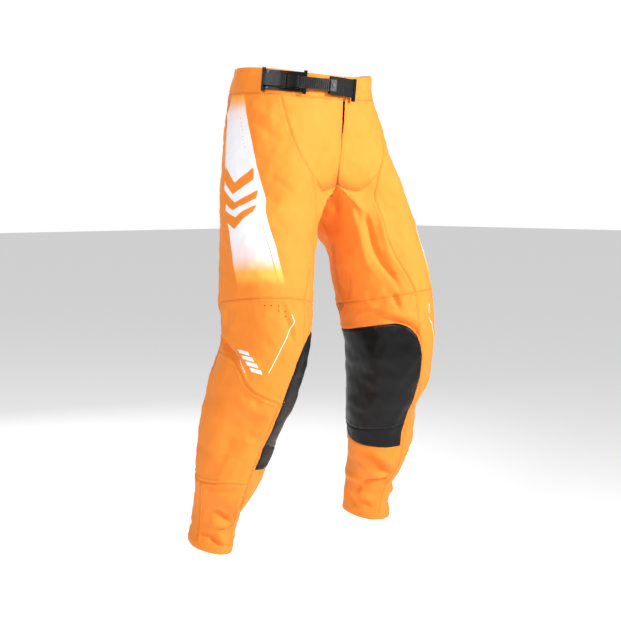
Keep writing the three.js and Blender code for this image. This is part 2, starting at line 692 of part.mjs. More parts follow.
function addBuckle() {
  const [from, to] = BASE_ANGLES;
  let base = join([
    arcPlate({ from, to, low: 0, high: 1.8, foot: -19, top: 19 }),
    arcPlate({ from: from - 0.7, to: from + 1.3, low: 0, high: 1.8, foot: -22.5, top: 22.5 }),
    arcPair({ from: from - 0.7, to: from + 1.3, low: 1, high: 6, foot: RAIL[0], top: 22.5 }),
    arcPlate({ from: to - 1.4, to: to + 0.6, low: 0, high: 5, foot: -22.5, top: 22.5 }),
    arcPair({ from, to: 48, low: 1, high: 6, foot: RAIL[0], top: RAIL[1] }),
    arcPair({ from: 33.3, to: 36, low: 5, high: 11.4, foot: RAIL[0], top: RAIL[1] }),
    arcPair({ from: 41.2, to: 43.9, low: 5, high: 11.4, foot: RAIL[0], top: RAIL[1] }),
  ]);
  base = base.subtract(rod(LEVER_PIN, HOLE_R, 16)).subtract(rod(RELEASE_PIN, HOLE_R, 16));
  const rivets = [[31.9, 16.9], [31.9, -16.9], [53.4, 15], [53.4, -15]];
  for (const [angle, height] of rivets) base = base.subtract(stud(angle, height, 1.9, -2, 3));
  addMesh(closure, "buckle_base", base, "blackPlastic");
  const heads = rivets.map(([angle, height]) =>
    stud(angle, height, 1.5, -0.6, 2).add(stud(angle, height, 2.4, 2.1, 3.2)).add(
      stud(angle, height, 1.5, 1.9, 2.3)));
  heads.forEach((head, i) => addMesh(closure, "buckle_rivet_" + (i + 1), head, "steel"));
  addMesh(closure, "lever_pin", rod(LEVER_PIN, PIN_R, 15), "steel");
  addMesh(closure, "release_pin", rod(RELEASE_PIN, PIN_R, 15), "steel");
}

function addLever() {
  const lever = join([
    rod(LEVER_PIN, 3.1, LEVER_HALF),
    arcPlate({ from: 42.6, to: 45.4, low: 9.4, high: 12.2, foot: -LEVER_HALF, top: LEVER_HALF }),
    arcPlate({ from: 45, to: 55, low: 9.8, high: 12.2, foot: -LEVER_HALF, top: LEVER_HALF }),
    arcPlate({ from: 54.4, to: 56.2, low: 10.4, high: 13, foot: -12.6, top: 12.6 }),
  ]);
  addMesh(closure, "ratchet_lever", lever.subtract(rod(LEVER_PIN, HOLE_R, 16)), "blackPlastic");
}

function addDrivePawl() {
  const pawl = join([
    arcPlate({ from: 44.6, to: 47.4, low: 5.85, high: 7.6, foot: -7, top: 7 }),
    arcPlate({ from: 46.2, to: 48.2, low: 6.4, high: 8.8, foot: -7, top: 7 }),
  ]);
  addMesh(closure, "drive_pawl", pawl, "greyPlastic");
}

function addReleaseLever() {
  const lever = join([
    rod(RELEASE_PIN, 3, LEVER_HALF),
    arcPlate({ from: 34.6, to: 37.6, low: 9.2, high: 11.4, foot: -LEVER_HALF, top: LEVER_HALF }),
    arcPlate({ from: 36.8, to: 39.4, low: 9.6, high: 12.8, foot: -LEVER_HALF, top: LEVER_HALF }),
  ]);
  addMesh(closure, "release_lever", lever.subtract(rod(RELEASE_PIN, HOLE_R, 16)), "blackPlastic");
}

function addLadder() {
  const [from, to] = LADDER_ANGLES;
  const solids = [arcPlate({ from, to, low: 2.3, high: 4, foot: -LADDER_HALF, top: LADDER_HALF })];
  solids.push(arcPair({ from, to, low: 3.5, high: 5.3, foot: LADDER_HALF - 1.6, top: LADDER_HALF }));
  for (let angle = 14; angle < to - 1; angle += RIB_PITCH) {
    const rib = { from: angle, to: angle + 0.6, low: 3.5, high: 5.3, foot: -9.8, top: 9.8 };
    solids.push(arcPlate(rib));
  }
  addMesh(closure, "ladder_strap", join(solids), "greyPlastic");
}

function addTab() {
  const [from, to] = TAB_ANGLES;
  const tab = join([
    arcPlate({ from, to: TAB_STEP + 0.4, low: 0, high: 4, foot: -TAB_HALF, top: TAB_HALF }),
    arcPlate({ from: TAB_STEP, to, low: 0, high: 1.9, foot: -TAB_HALF, top: TAB_HALF }),
    arcPair({ from: TAB_STEP, to, low: 1.5, high: 6, foot: LADDER_HALF + 0.4, top: TAB_HALF }),
    arcPlate({ from: from - 0.6, to: from + 1.2, low: 0, high: 6, foot: -25, top: 19 }),
  ]);
  addMesh(closure, "strap_tab", tab, "blackPlastic");
  let clamp = arcPlate({ from: 8.8, to: 13, low: 5.7, high: 7.4, foot: -LADDER_HALF, top: LADDER_HALF });
  clamp = clamp.subtract(stud(CLAMP_ANGLE, 0, 2.2, 3, 9));
  addMesh(closure, "clamp_plate", clamp, "greyPlastic");
  addMesh(closure, "clamp_screw", stud(CLAMP_ANGLE, 0, 1.8, 5.7, 7.6).add(
    stud(CLAMP_ANGLE, 0, 3.6, 7.75, 9.2)).add(stud(CLAMP_ANGLE, 0, 1.8, 7.3, 8)), "steel");
}

addWaistband();
addFrontPanels();
addInnerThighPanels();
addSideThighPanels();
addSeatPanels();
addRearThighPanels();
addKneePanels();
addKneeGuards();
addKneeBack();
addShinStrips();
addCalfPanels();
addLowerLegPanels();
addCuffs();
addZip();
addSlider();
addFlyShield();
addBuckle();
addLever();
addDrivePawl();
addReleaseLever();
addLadder();
addTab();

export default root;
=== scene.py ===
# The looks of a pair of off-road riding trousers with leather knee guards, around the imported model.
# Metres, +Z up, the front towards -Y, the wearer's left towards +X. The cloth is one smooth surface,
# given by how far round it a point is (u) and how far down it (s), cut into panels along its seams.
import math

import bpy
import numpy as np
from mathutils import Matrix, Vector
from mathutils.bvhtree import BVHTree
from mathutils.kdtree import KDTree


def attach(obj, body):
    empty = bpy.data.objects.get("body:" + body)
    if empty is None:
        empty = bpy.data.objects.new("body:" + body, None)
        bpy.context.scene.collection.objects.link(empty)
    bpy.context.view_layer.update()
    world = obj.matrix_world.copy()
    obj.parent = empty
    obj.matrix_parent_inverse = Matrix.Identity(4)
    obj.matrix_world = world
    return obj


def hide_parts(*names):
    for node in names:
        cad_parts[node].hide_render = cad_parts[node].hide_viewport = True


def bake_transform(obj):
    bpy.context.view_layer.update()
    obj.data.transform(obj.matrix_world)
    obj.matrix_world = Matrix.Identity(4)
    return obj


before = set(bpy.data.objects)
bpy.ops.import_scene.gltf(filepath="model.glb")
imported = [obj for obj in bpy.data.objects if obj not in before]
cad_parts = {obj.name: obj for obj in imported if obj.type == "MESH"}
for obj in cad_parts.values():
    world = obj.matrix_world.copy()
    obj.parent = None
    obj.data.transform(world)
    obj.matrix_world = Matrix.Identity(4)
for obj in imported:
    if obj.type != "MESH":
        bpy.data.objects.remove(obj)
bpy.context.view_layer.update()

MM = 0.001
TURN = 6.283  # a full turn, for the waves in the cloth
rng = np.random.default_rng(7)

# ---- the surface of the garment, as in the CAD ----

# Height at the side, front and back, half width, depth ahead and behind, bulge, forward shift.
HIPS = np.array([
    (4, -12, 14, 150, 121, 118, 0, 0),
    (-45, -57, -34, 157, 122, 138, 0, 0),
    (-105, -112, -98, 174, 118, 136, 12, 4),
    (-170, -170, -165, 187, 112, 134, 28, 12),
    (-240, -222, -225, 205, 104, 124, 56, 22),
]) * MM
CROTCH_Z = -0.276
CENTRE_GAP = 0.0002
LEG_START = (116, -24, -240)
# Middle of the section (x, y, z), half width across, depth ahead and behind, turn in degrees.
LEG = np.array([
    (130, -47, -310, 92, 105, 100, 8),
    (147, -60, -380, 87, 106, 102, 9),
    (158, -71, -450, 84, 108, 104, 10),
    (165, -78, -530, 80, 104, 100, 10),
    (182, -61, -610, 83, 93, 92, 10),
    (192, -35, -690, 78, 79, 79, 10),
    (205, -3, -800, 60, 65, 65, 10),
    (209, 25, -870, 44, 54, 54, 10),
    (214, 38, -934, 42, 55, 54, 10),
], float)
CROTCH = len(HIPS) - 1
HEM = len(HIPS) + len(LEG) - 1
BACK_U = 0.75
FORK_U = 0.1

HIP_SEAM = [(0.215, 1), (0.185, 2), (0.158, 2.75), (0.12, 3.45), (0.098, 4), (0.062, 4.5),
            (0.03, 5), (0.022, 5.5), (0.044, 6.3), (0.068, 7)]
BACK_SEAM = [(0.47, 1), (0.46, 4), (0.44, 7)]
INSEAM = [(-0.1, 4), (-0.12, 4.5), (-0.165, 4.95), (-0.203, 5.4), (-0.213, 6.4), (-0.2, 7)]
FRONT_ARC = [(0, 4), (0.021, 4.13), (0.045, 4.17), (0.071, 4.03), (0.096, 3.75), (0.12, 3.45)]
GUARD_TOP = [(-0.31, 7.8), (-0.22, 7.74), (-0.13, 7.64), (-0.06, 7.59), (-0.01, 7.59),
             (0.034, 7.7), (0.066, 7.88)]
GUARD_FRONT = [(0.066, 7.88), (0.081, 8.1), (0.09, 8.4), (0.094, 8.7), (0.094, 9.05),
               (0.092, 9.55), (0.086, 10.05)]
GUARD_BACK = [(-0.31, 7.8), (-0.31, 8.2), (-0.31, 8.6), (-0.308, 9.05), (-0.304, 9.5),
              (-0.295, 9.95), (-0.28, 10.36)]
GUARD_SPLIT = [(-0.28, 10.36), (-0.2, 10.35), (-0.12, 10.29), (-0.05, 10.22), (0.01, 10.16),
               (0.05, 10.11), (0.086, 10.05)]
GUARD_FOOT = [(-0.262, 10.58), (-0.2, 10.6), (-0.12, 10.59), (-0.05, 10.56), (0.01, 10.54),
              (0.05, 10.53), (0.088, 10.52)]
KNEE_FOOT = [(0.094, 9.05), (0.13, 8.99), (0.17, 8.95), (0.215, 8.88), (0.255, 8.75),
             (0.29, 8.54), (0.335, 8.36), (0.385, 8.33), (0.44, 8.36)]
KNEE_FRONT = [(0.068, 7), (0.067, 7.44), (0.066, 7.88)]
STRIP_OUTER = [(0.111, 9.03), (0.109, 9.55), (0.103, 10.05), (0.105, 10.52), (0.105, 10.78)]
CALF_FOOT = [(0.105, 10.78), (0.2, 10.8), (0.3, 10.93), (0.36, 11), (0.44, 11.02), (0.6, 10.9),
             (0.74, 10.78)]
STRIP_FOOT = 10.78
CUFF_TOP = 12.72


def between(a, b, c, d, t):
    """The smooth curve from b to c, steered by its neighbours a and d."""
    return 0.5 * (2 * b + (c - a) * t + (2 * a - 5 * b + 4 * c - d) * t**2
                  + (3 * b - a - 3 * c + d) * t**3)


def smooth(t):
    """From 0 to 1, level at both ends."""
    return t * t * (3 - 2 * t)


def mirror_of(side):
    """Turns points of the wearer's left half into points of the given side."""
    return np.array([1 if side == "left" else -1, 1, 1])


def hip_station(row, u):
    side, front, back, width, ahead, behind, bulge, shift = row
    angle = np.minimum(u, BACK_U) / BACK_U * np.pi
    c, s = np.cos(angle), np.sin(angle)
    depth = np.where(c > 0, ahead, behind)
    end = np.where(c > 0, front, back)
    swell = np.where(c > 0, bulge * np.sin(2 * angle) ** 2, 0.0)
    return np.stack([width * s, -depth * c - swell - shift * s * s, side + (end - side) * c * c], -1)


def crotch_line(u):
    low = HIPS[CROTCH]
    v = (u - BACK_U) / (1 - BACK_U)
    sag = CROTCH_Z - (low[1] + low[2]) / 2
    y = low[5] - (low[5] + low[4]) * v
    z = low[2] + (low[1] - low[2]) * v + sag * np.sin(np.pi * np.clip(v, 0, 1))
    return np.stack([np.full_like(u, CENTRE_GAP), y, z], -1)


def leg_axes(index):
    middles = np.array([LEG_START, *LEG[:, :3]], float)
    down = middles[min(index + 2, len(LEG))] - middles[index]
    down /= np.linalg.norm(down)
    turn = math.radians(LEG[index, 6])
    across = np.array([math.cos(turn), math.sin(turn), 0])
    across -= down * (across @ down)
    across /= np.linalg.norm(across)
    back = np.array([-math.sin(turn), math.cos(turn), 0])
    back -= down * (back @ down)
    back -= across * (back @ across)
    return down, across, back / np.linalg.norm(back)


def leg_station(index, u):
    middle, (half, ahead, behind) = LEG[index, :3] * MM, LEG[index, 3:6] * MM
    _, across, back = leg_axes(index)
    angle = np.radians(360 * u - 45)
    c = np.cos(angle)
    depth = np.where(c > 0, ahead, behind)
    return middle + np.outer(half * np.sin(angle), across) - np.outer(depth * c, back)


def surface(u, s):
    """Points of the wearer's left half of the garment, smooth from section to section."""
    u, s = np.broadcast_arrays(np.asarray(u, float), np.asarray(s, float))
    shape = u.shape
    u, s = u.ravel(), s.ravel()
    u = u - np.floor(u)
    rows = [hip_station(row, u) for row in HIPS] + [leg_station(i, u) for i in range(len(LEG))]
    inside = (u > BACK_U)[:, None]
    line = crotch_line(u)
    rows[CROTCH] = np.where(inside, line, rows[CROTCH])
    rows[CROTCH - 1] = np.where(inside, 2 * line - rows[CROTCH + 1], rows[CROTCH - 1])
    rows = [2 * rows[0] - rows[1], *rows, 2 * rows[HEM] - rows[HEM - 1]]
    stack = np.stack(rows)
    way = np.clip(s, np.where(u > BACK_U, CROTCH, 0), HEM)
    k = np.minimum(np.floor(way), HEM - 1).astype(int)
    t = (way - k)[:, None]
    n = np.arange(len(u))
    a, b, c, d = (stack[k + j, n] for j in range(4))
    edge = np.clip(np.minimum(u, BACK_U - u) / FORK_U, 0, 1)
    straight = 1 - smooth(edge)
    straight = np.where((k == CROTCH - 1) & (u <= BACK_U), straight, 0.0)[:, None]
    d = d + (2 * c - b - d) * straight
    out = between(a, b, c, d, t)
    out[:, 0] = np.maximum(out[:, 0], CENTRE_GAP)
    return out.reshape(*shape, 3)


def normals(u, s):
    u, s = np.broadcast_arrays(np.asarray(u, float), np.asarray(s, float))
    hips = s < CROTCH
    u = np.where(hips, u - np.floor(u), u)
    u0 = np.where(hips, np.maximum(u - 0.004, 0), u - 0.004)
    u1 = np.where(hips, np.minimum(u + 0.004, BACK_U), u + 0.004)
    n = np.cross(surface(u, s + 0.03) - surface(u, s - 0.03), surface(u1, s) - surface(u0, s))
    return n / np.maximum(np.linalg.norm(n, axis=-1, keepdims=True), 1e-9)


# ---- curves on the surface ----

def spline(points, count=160):
    """A smooth line through points, evenly spread by length on the garment."""
    p = np.array(points, float)
    if len(p) > 2:
        ends = np.vstack([2 * p[0] - p[1], p, 2 * p[-1] - p[-2]])
        fine = []
        for i in range(len(p) - 1):
            fine.append(between(*ends[i:i + 4], np.linspace(0, 1, 24, endpoint=False)[:, None]))
        p = np.vstack([*fine, p[-1:]])
    else:
        p = p[0] + np.linspace(0, 1, 60)[:, None] * (p[1] - p[0])
    return even(p, np.linspace(0, 1, count))


def even(line, shares):
    """The points of a line at the given shares of its length on the garment."""
    step = np.linalg.norm(np.diff(surface(line[:, 0], line[:, 1]), axis=0), axis=1)
    way = np.concatenate([[0], np.cumsum(step)])
    way /= max(way[-1], 1e-9)
    return np.stack([np.interp(shares, way, line[:, k]) for k in (0, 1)], -1)


def part(points, low, high, count=160):
    """The stretch of a seam between two heights."""
    fine = spline(points, 900)
    s = np.linspace(low, high, 300)
    return even(np.stack([np.interp(s, fine[:, 1], fine[:, 0]), s], -1), np.linspace(0, 1, count))


def across(points, low, high, count=160):
    """The stretch of a seam between two places round the leg."""
    fine = spline(points, 900)
    u = np.linspace(low, high, 300)
    return even(np.stack([u, np.interp(u, fine[:, 0], fine[:, 1])], -1), np.linspace(0, 1, count))


def line(a, b, count=160):
    return spline([a, b], count)


def length_of(uv):
    return float(np.linalg.norm(np.diff(surface(uv[:, 0], uv[:, 1]), axis=0), axis=1).sum())


def joined(*lines):
    return np.vstack([lines[0], *[x[1:] for x in lines[1:]]])


def turned(points):
    """The same seam one turn further round."""
    return [(u + 1, s) for u, s in points]


# ---- folds ----

# Each fold is a stroke on the surface: which leg, its points (u, s), its half width and its height
# in millimetres. A height below 0 is a valley.
FOLDS = [
    # crotch and inner thighs
    ("both", [(1.0, 4.08), (0.967, 4.15), (0.938, 4.23)], 7, -3),
    ("left", [(0.995, 4.1), (0.965, 4.25), (0.935, 4.55)], 7, -6),
    ("left", [(1.012, 4.16), (0.995, 4.4), (0.975, 4.75)], 5, -5),
    ("both", [(1.012, 4.12), (0.985, 4.3), (0.95, 4.42)], 6, 3),
    ("left", [(1.004, 4.25), (0.955, 4.45), (0.921, 4.75), (0.89, 5.2), (0.872, 5.65)], 17, -11),
    ("left", [(1.021, 4.25), (0.985, 4.5), (0.955, 4.85), (0.935, 5.4), (0.94, 5.95), (0.96, 6.43)],
     9, 6.5),
    ("left", [(1.028, 4.55), (0.985, 4.9), (0.968, 5.45), (0.98, 6.0), (1.0, 6.45), (1.02, 6.95)],
     6.5, -8.5),
    ("left", [(1.05, 4.6), (1.02, 5.1), (1.01, 5.7), (1.03, 6.3)], 9, 4.5),
    ("left", [(0.854, 5.75), (0.846, 6.25), (0.815, 7.0)], 8, -6),
    ("left", [(0.985, 6.9), (1.004, 7.3)], 6, -7),
    ("left", [(0.89, 6.6), (0.905, 7.1), (0.93, 7.35)], 9, 3),
    ("left", [(0.88, 7.18), (0.92, 7.28), (0.958, 7.4)], 5, -5.5),
    ("left", [(0.84, 7.45), (0.88, 7.3), (0.91, 7.33)], 5, 2.5),
    ("left", [(0.92, 7.4), (0.987, 7.53), (1.04, 7.68), (1.072, 7.9), (1.085, 8.15)], 5, -7),
    ("left", [(0.93, 7.3), (0.99, 7.4), (1.06, 7.55), (1.1, 7.85)], 7, 3),
    ("left", [(0.108, 4.58), (0.07, 5.2), (0.05, 5.7)], 18, -5),
    ("left", [(0.008, 4.48), (0.067, 4.28)], 9, -2),
    ("left", [(0.02, 3.85), (0.028, 4.1)], 4, -2),
    ("right", [(0.95, 4.3), (0.9, 4.8), (0.87, 5.4)], 15, -8),
    ("right", [(0.99, 4.35), (0.95, 5.0), (0.945, 5.8)], 10, -4),
    ("right", [(1.02, 4.5), (0.985, 5.1), (0.975, 5.8)], 8, 3),
    ("right", [(0.88, 6.2), (0.86, 6.8), (0.83, 7.2)], 9, -4),
    # hips
    ("right", [(0.27, 2.2), (0.24, 2.36), (0.2, 2.28), (0.17, 2.05)], 12, -4),
    ("right", [(0.25, 1.7), (0.22, 1.95)], 14, 1.5),
    ("left", [(0.1, 1.95), (0.13, 2.3), (0.155, 2.65)], 6, -2),
    ("both", [(0.027, 2.05), (0.018, 2.4), (0.01, 2.8)], 4, -1.2),
    ("both", [(0.2, 3.6), (0.23, 4.2), (0.22, 4.9)], 20, -2),
    ("both", [(0.33, 1.1), (0.34, 1.6), (0.32, 2.2)], 12, -1.2),
    # above and beside the knees
    ("both", [(0.172, 7.0), (0.154, 7.35), (0.135, 7.65), (0.115, 7.9)], 6, -4),
    ("both", [(0.135, 7.3), (0.115, 7.6), (0.098, 7.9)], 6, 2.5),
    ("both", [(0.1, 7.45), (0.088, 7.75)], 4, -2),
    ("right", [(0.45, 8.0), (0.41, 8.06), (0.365, 8.2), (0.325, 8.3), (0.29, 8.4)], 7, -9.5),
    ("left", [(0.45, 8.03), (0.4, 8.1), (0.34, 8.25), (0.29, 8.4)], 7, -8),
    ("both", [(0.45, 7.78), (0.41, 7.85), (0.36, 7.98), (0.315, 8.12)], 8, 4),
    ("both", [(0.45, 8.24), (0.4, 8.28), (0.35, 8.36)], 5, 3),
    ("both", [(0.376, 7.1), (0.385, 7.5), (0.392, 7.85)], 7, -3),
    ("both", [(0.4, 7.1), (0.41, 7.6)], 6, 2),
    # behind the knees
    ("both", [(0.46, 7.75), (0.56, 7.85), (0.66, 7.75)], 7, -5),
    ("both", [(0.47, 8.1), (0.57, 8.22), (0.67, 8.1)], 7, -6),
    ("both", [(0.47, 7.93), (0.57, 8.04), (0.67, 7.93)], 7, 4),
    ("both", [(0.48, 8.45), (0.58, 8.52), (0.67, 8.4)], 8, -4),
    ("both", [(0.5, 7.4), (0.6, 7.5), (0.7, 7.35)], 9, -3.5),
    ("both", [(0.5, 7.58), (0.6, 7.67), (0.69, 7.56)], 8, 2.5),
    ("both", [(0.55, 6.2), (0.6, 6.7), (0.66, 7.1)], 14, -4),
    # seat
    ("both", [(0.72, 3.3), (0.69, 3.9), (0.64, 4.5)], 16, -5),
    ("both", [(0.62, 4.4), (0.66, 4.9), (0.72, 5.2)], 14, -4.5),
    ("both", [(0.55, 4.7), (0.62, 5.3), (0.68, 5.7)], 12, -3),
    ("both", [(0.6, 3.2), (0.56, 3.9), (0.52, 4.6)], 20, 2.5),
    # calves
    ("both", [(0.255, 9.1), (0.215, 9.02), (0.17, 9.13)], 9, -3.5),
    ("both", [(0.19, 9.96), (0.15, 9.93), (0.125, 10.0)], 9, -4.5),
    ("both", [(0.14, 9.2), (0.185, 9.6), (0.23, 9.95), (0.26, 10.6)], 24, -9),
    ("both", [(0.3, 9.2), (0.31, 9.9), (0.32, 10.5)], 20, 4),
    ("both", [(0.52, 9.6), (0.58, 9.9), (0.65, 9.8)], 12, -3),
    ("both", [(0.5, 10.4), (0.58, 10.55), (0.68, 10.4)], 10, -3.5),
    # the near lower leg
    ("right", [(0.32, 11.02), (0.208, 10.98), (0.15, 10.9)], 5, -3.5),
    ("right", [(0.25, 11.55), (0.215, 11.66), (0.155, 11.8), (0.1, 11.93)], 6, -12),
    ("right", [(0.2, 11.25), (0.165, 11.5), (0.12, 11.7)], 10, -4.9),
    ("right", [(0.26, 11.85), (0.215, 12.0), (0.15, 12.02), (0.09, 12.12)], 7, 6.3),
    ("right", [(0.2, 12.28), (0.15, 12.16), (0.09, 12.08), (0.03, 12.03)], 3.2, -5.6),
    ("right", [(0.325, 12.56), (0.27, 12.47), (0.22, 12.5), (0.17, 12.63), (0.12, 12.78)], 5, -7.7),
    ("right", [(0.2, 12.3), (0.155, 12.45), (0.115, 12.65)], 6, 5.6),
    ("right", [(0.13, 10.8), (0.12, 11.2), (0.1, 11.45), (0.055, 11.85)], 5, 4.2),
    ("right", [(0.1, 11.2), (0.085, 11.4)], 5, -4.2),
    ("right", [(0.92, 11.2), (0.99, 11.5), (1.05, 11.95)], 8, -7),
    ("right", [(0.8, 11.6), (0.88, 11.9), (0.96, 11.95)], 8, -5.6),
    ("right", [(0.85, 12.2), (0.93, 12.35), (1.0, 12.4)], 7, -5.6),
    # the far lower leg
    ("left", [(0.885, 10.72), (0.93, 10.78), (0.98, 10.88), (1.035, 11.07), (1.07, 11.22)], 7, -12.6),
    ("left", [(0.92, 10.63), (0.98, 10.7), (1.04, 10.85), (1.085, 11.1)], 6, 5.6),
    ("left", [(0.86, 11.15), (0.93, 11.17), (1.0, 11.28), (1.06, 11.3)], 8, 6.3),
    ("left", [(1.072, 11.26), (1.05, 11.37), (1.005, 11.47), (0.95, 11.6), (0.905, 11.75)], 3.6, -8.4),
    ("left", [(0.74, 11.75), (0.8, 11.72), (0.88, 11.62), (0.92, 11.6)], 8, 4.9),
    ("left", [(0.9, 11.8), (0.892, 12.05), (0.885, 12.2)], 6, -5.6),
    ("left", [(0.88, 12.18), (0.915, 12.3), (0.965, 12.44), (1.0, 12.55)], 6, -7),
    ("left", [(0.88, 12.05), (0.94, 12.15), (0.99, 12.3)], 7, 5.6),
    ("left", [(0.78, 12.1), (0.83, 12.45), (0.9, 12.62)], 7, -4.9),
    ("left", [(0.25, 11.55), (0.2, 11.7), (0.14, 11.85)], 7, -8.4),
    ("left", [(0.3, 12.5), (0.23, 12.45), (0.16, 12.65)], 6, -6.3),
    ("left", [(0.24, 11.9), (0.18, 12.05), (0.12, 12.1)], 7, 4.9),
    # behind the lower legs
    ("both", [(0.45, 11.3), (0.55, 11.45), (0.66, 11.3)], 8, -5.6),
    ("both", [(0.47, 11.95), (0.56, 12.05), (0.66, 11.95)], 7, -5.6),
    ("both", [(0.48, 11.65), (0.57, 11.75), (0.67, 11.6)], 8, 4.2),
    ("both", [(0.42, 12.4), (0.52, 12.5), (0.62, 12.4)], 6, -4.2),
]


def nearest_on(points, marks):
    """For each point, the distance to the nearest of the marks, and which it is."""
    gap = np.empty(len(points))
    which = np.empty(len(points), int)
    for block in np.array_split(np.arange(len(points)), max(1, len(points) // 4000)):
        d = np.linalg.norm(points[block, None] - marks[None], axis=2)
        which[block] = d.argmin(1)
        gap[block] = d[np.arange(len(block)), which[block]]
    return gap, which


def fold_strokes():
    """Each fold's points in space, its half width, its height, and the leg it is on."""
    made = []
    for side, points, width, height in FOLDS:
        count = int(length_of(spline(points, 40)) / (0.25 * width * MM)) + 8
        uv = spline(points, count)
        made.append((side, surface(uv[:, 0], uv[:, 1]), width * MM, height * MM))
    return made


STROKES = fold_strokes()


def fold_heights(points, side):
    """How far each point is moved out by the folds of one leg."""
    total = np.zeros(len(points))
    for where, stroke, width, height in STROKES:
        if where not in ("both", side):
            continue
        low, high = stroke.min(0) - 3 * width, stroke.max(0) + 3 * width
        near = np.all((points > low) & (points < high), axis=1)
        if not near.any():
            continue
        gap, nearest = nearest_on(points[near], stroke)
        share = nearest / (len(stroke) - 1)
        fade = np.clip(np.minimum(share, 1 - share) / 0.28, 0, 1)
        fade = 0.1 + 0.9 * smooth(fade)
        total[near] += height * fade * np.exp(-((gap / (width * (0.55 + 0.45 * fade))) ** 2))
    return total


WAVES = [(rng.normal(size=3), rng.uniform(0, 6.28)) for _ in range(26)]


def drape(points):
    """Slow unevenness of worn cloth, and a faint crumple."""
    out = np.zeros(len(points))
    for i, (way, phase) in enumerate(WAVES):
        way = way / np.linalg.norm(way)
        length = 0.16 / (1 + 0.35 * i)
        out += 0.0011 / (1 + 0.45 * i) * np.sin(points @ way * TURN / length + phase)
    return out


# ---- seams ----

def seam_lines():
    """Every seam by its name, as points in u and s."""
    knee_back = [(0.8, 7), (0.69, 7.8), (0.69, 8.2), (0.69, 8.6), (0.692, 9.05)]
    beside_strip = [*GUARD_FRONT[4:], GUARD_FOOT[-1]]
    return {
        "waist": line((0, 1), (0.75, 1), 500),
        "hip": spline(HIP_SEAM, 300),
        "back": spline(BACK_SEAM, 300),
        "inseam": spline(turned(INSEAM), 300),
        "arc": spline(FRONT_ARC, 160)[:-48],  # it ends short of the hip seam, which it would run into
        "crotch_front": line((1.0, 4), (0.9, 4), 60),
        "crotch_back": line((0.75, 4), (0.9, 4), 60),
        "yoke": line((0.47, 2), (0.75, 2), 120),
        "seat": line((0.46, 4), (0.75, 4), 120),
        "front_middle": line((0, 1), (0, 4), 200),
        "back_middle": line((0.75, 1), (0.75, 4), 200),
        "thigh_foot": joined(line((-0.2, 7), (0.44, 7), 320), line((0.44, 7), (0.8, 7), 160)),
        "knee_front": spline(KNEE_FRONT, 100),
        "guard_top": spline(turned(GUARD_TOP), 200),
        "guard_front": spline(GUARD_FRONT, 200),
        "guard_back": spline(turned(GUARD_BACK), 200),
        "guard_split": spline(turned(GUARD_SPLIT), 200),
        "guard_foot": spline(turned(GUARD_FOOT), 200),
        "knee_foot": spline(KNEE_FOOT, 260),
        "knee_back_side": spline(knee_back, 100),
        "knee_back_foot": line((0.44, 8.95), (0.692, 9.05), 120),
        "calf_side": line((0.44, 7), CALF_FOOT[4], 300),
        "strip_inner": spline(beside_strip, 160),
        "strip_outer": spline(STRIP_OUTER, 160),
        "calf_foot": across(CALF_FOOT, 0.105, 0.738, 300),
        "lower_front": line(CALF_FOOT[0], (0.05, CUFF_TOP), 200),
        "lower_side": line(CALF_FOOT[3], (0.32, CUFF_TOP), 200),
    }


SEAMS = seam_lines()
GROOVE, GROOVE_WIDTH = 0.0011, 0.0014
ROW_AT, SECOND_ROW_AT = 0.0024, 0.0086  # how far beside a seam rows of stitches pull the cloth in
DOUBLE = {"knee_foot", "inseam", "lower_front", "lower_side", "calf_foot"}
BAND_MIDDLE = 0.0055
MARK_STEP = 0.0012  # how closely seams and printed outlines are marked, for distances to them


def seam_tree():
    points, along, double = [], [], []
    for name, uv in SEAMS.items():
        fine = even(uv, np.linspace(0, 1, max(4, int(length_of(uv) / MARK_STEP))))
        p = surface(fine[:, 0], fine[:, 1])
        points.append(p)
        along.append(np.concatenate([[0], np.cumsum(np.linalg.norm(np.diff(p, axis=0), axis=1))]))
        double.append(np.full(len(p), name in DOUBLE))
    points, along, double = np.vstack(points), np.concatenate(along), np.concatenate(double)
    tree = KDTree(len(points))
    for i, p in enumerate(points):
        tree.insert(p, i)
    tree.balance()
    return tree, along, double


SEAM_TREE, SEAM_ALONG, SEAM_DOUBLE = seam_tree()


def seam_relief(points):
    """The groove and puckers along each seam, and the distances to the seam and to its rows."""
    found = [SEAM_TREE.find(p) for p in points]
    gap = np.array([f[2] for f in found])
    which = np.array([f[1] for f in found])
    along, double = SEAM_ALONG[which], SEAM_DOUBLE[which]
    pucker = np.sin(along * TURN / 0.013) + 0.7 * np.sin(along * TURN / 0.0214 + 1.3)
    swell = np.exp(-(((gap - BAND_MIDDLE) / 0.0026) ** 2))
    relief = -GROOVE * np.exp(-((gap / GROOVE_WIDTH) ** 2))
    relief -= 0.0004 * np.exp(-(((gap - ROW_AT) / 0.0009) ** 2))
    relief += np.where(double, 0.0011, 0.0003) * swell
    relief -= np.where(double, 0.0004, 0) * np.exp(-(((gap - SECOND_ROW_AT) / 0.001) ** 2))
    relief += 0.00022 * pucker * np.exp(-((gap / 0.009) ** 2))
    row = np.minimum(np.abs(gap - ROW_AT), np.where(double, np.abs(gap - SECOND_ROW_AT), 1.0))
    return relief, gap, row


# ---- the printed shapes ----

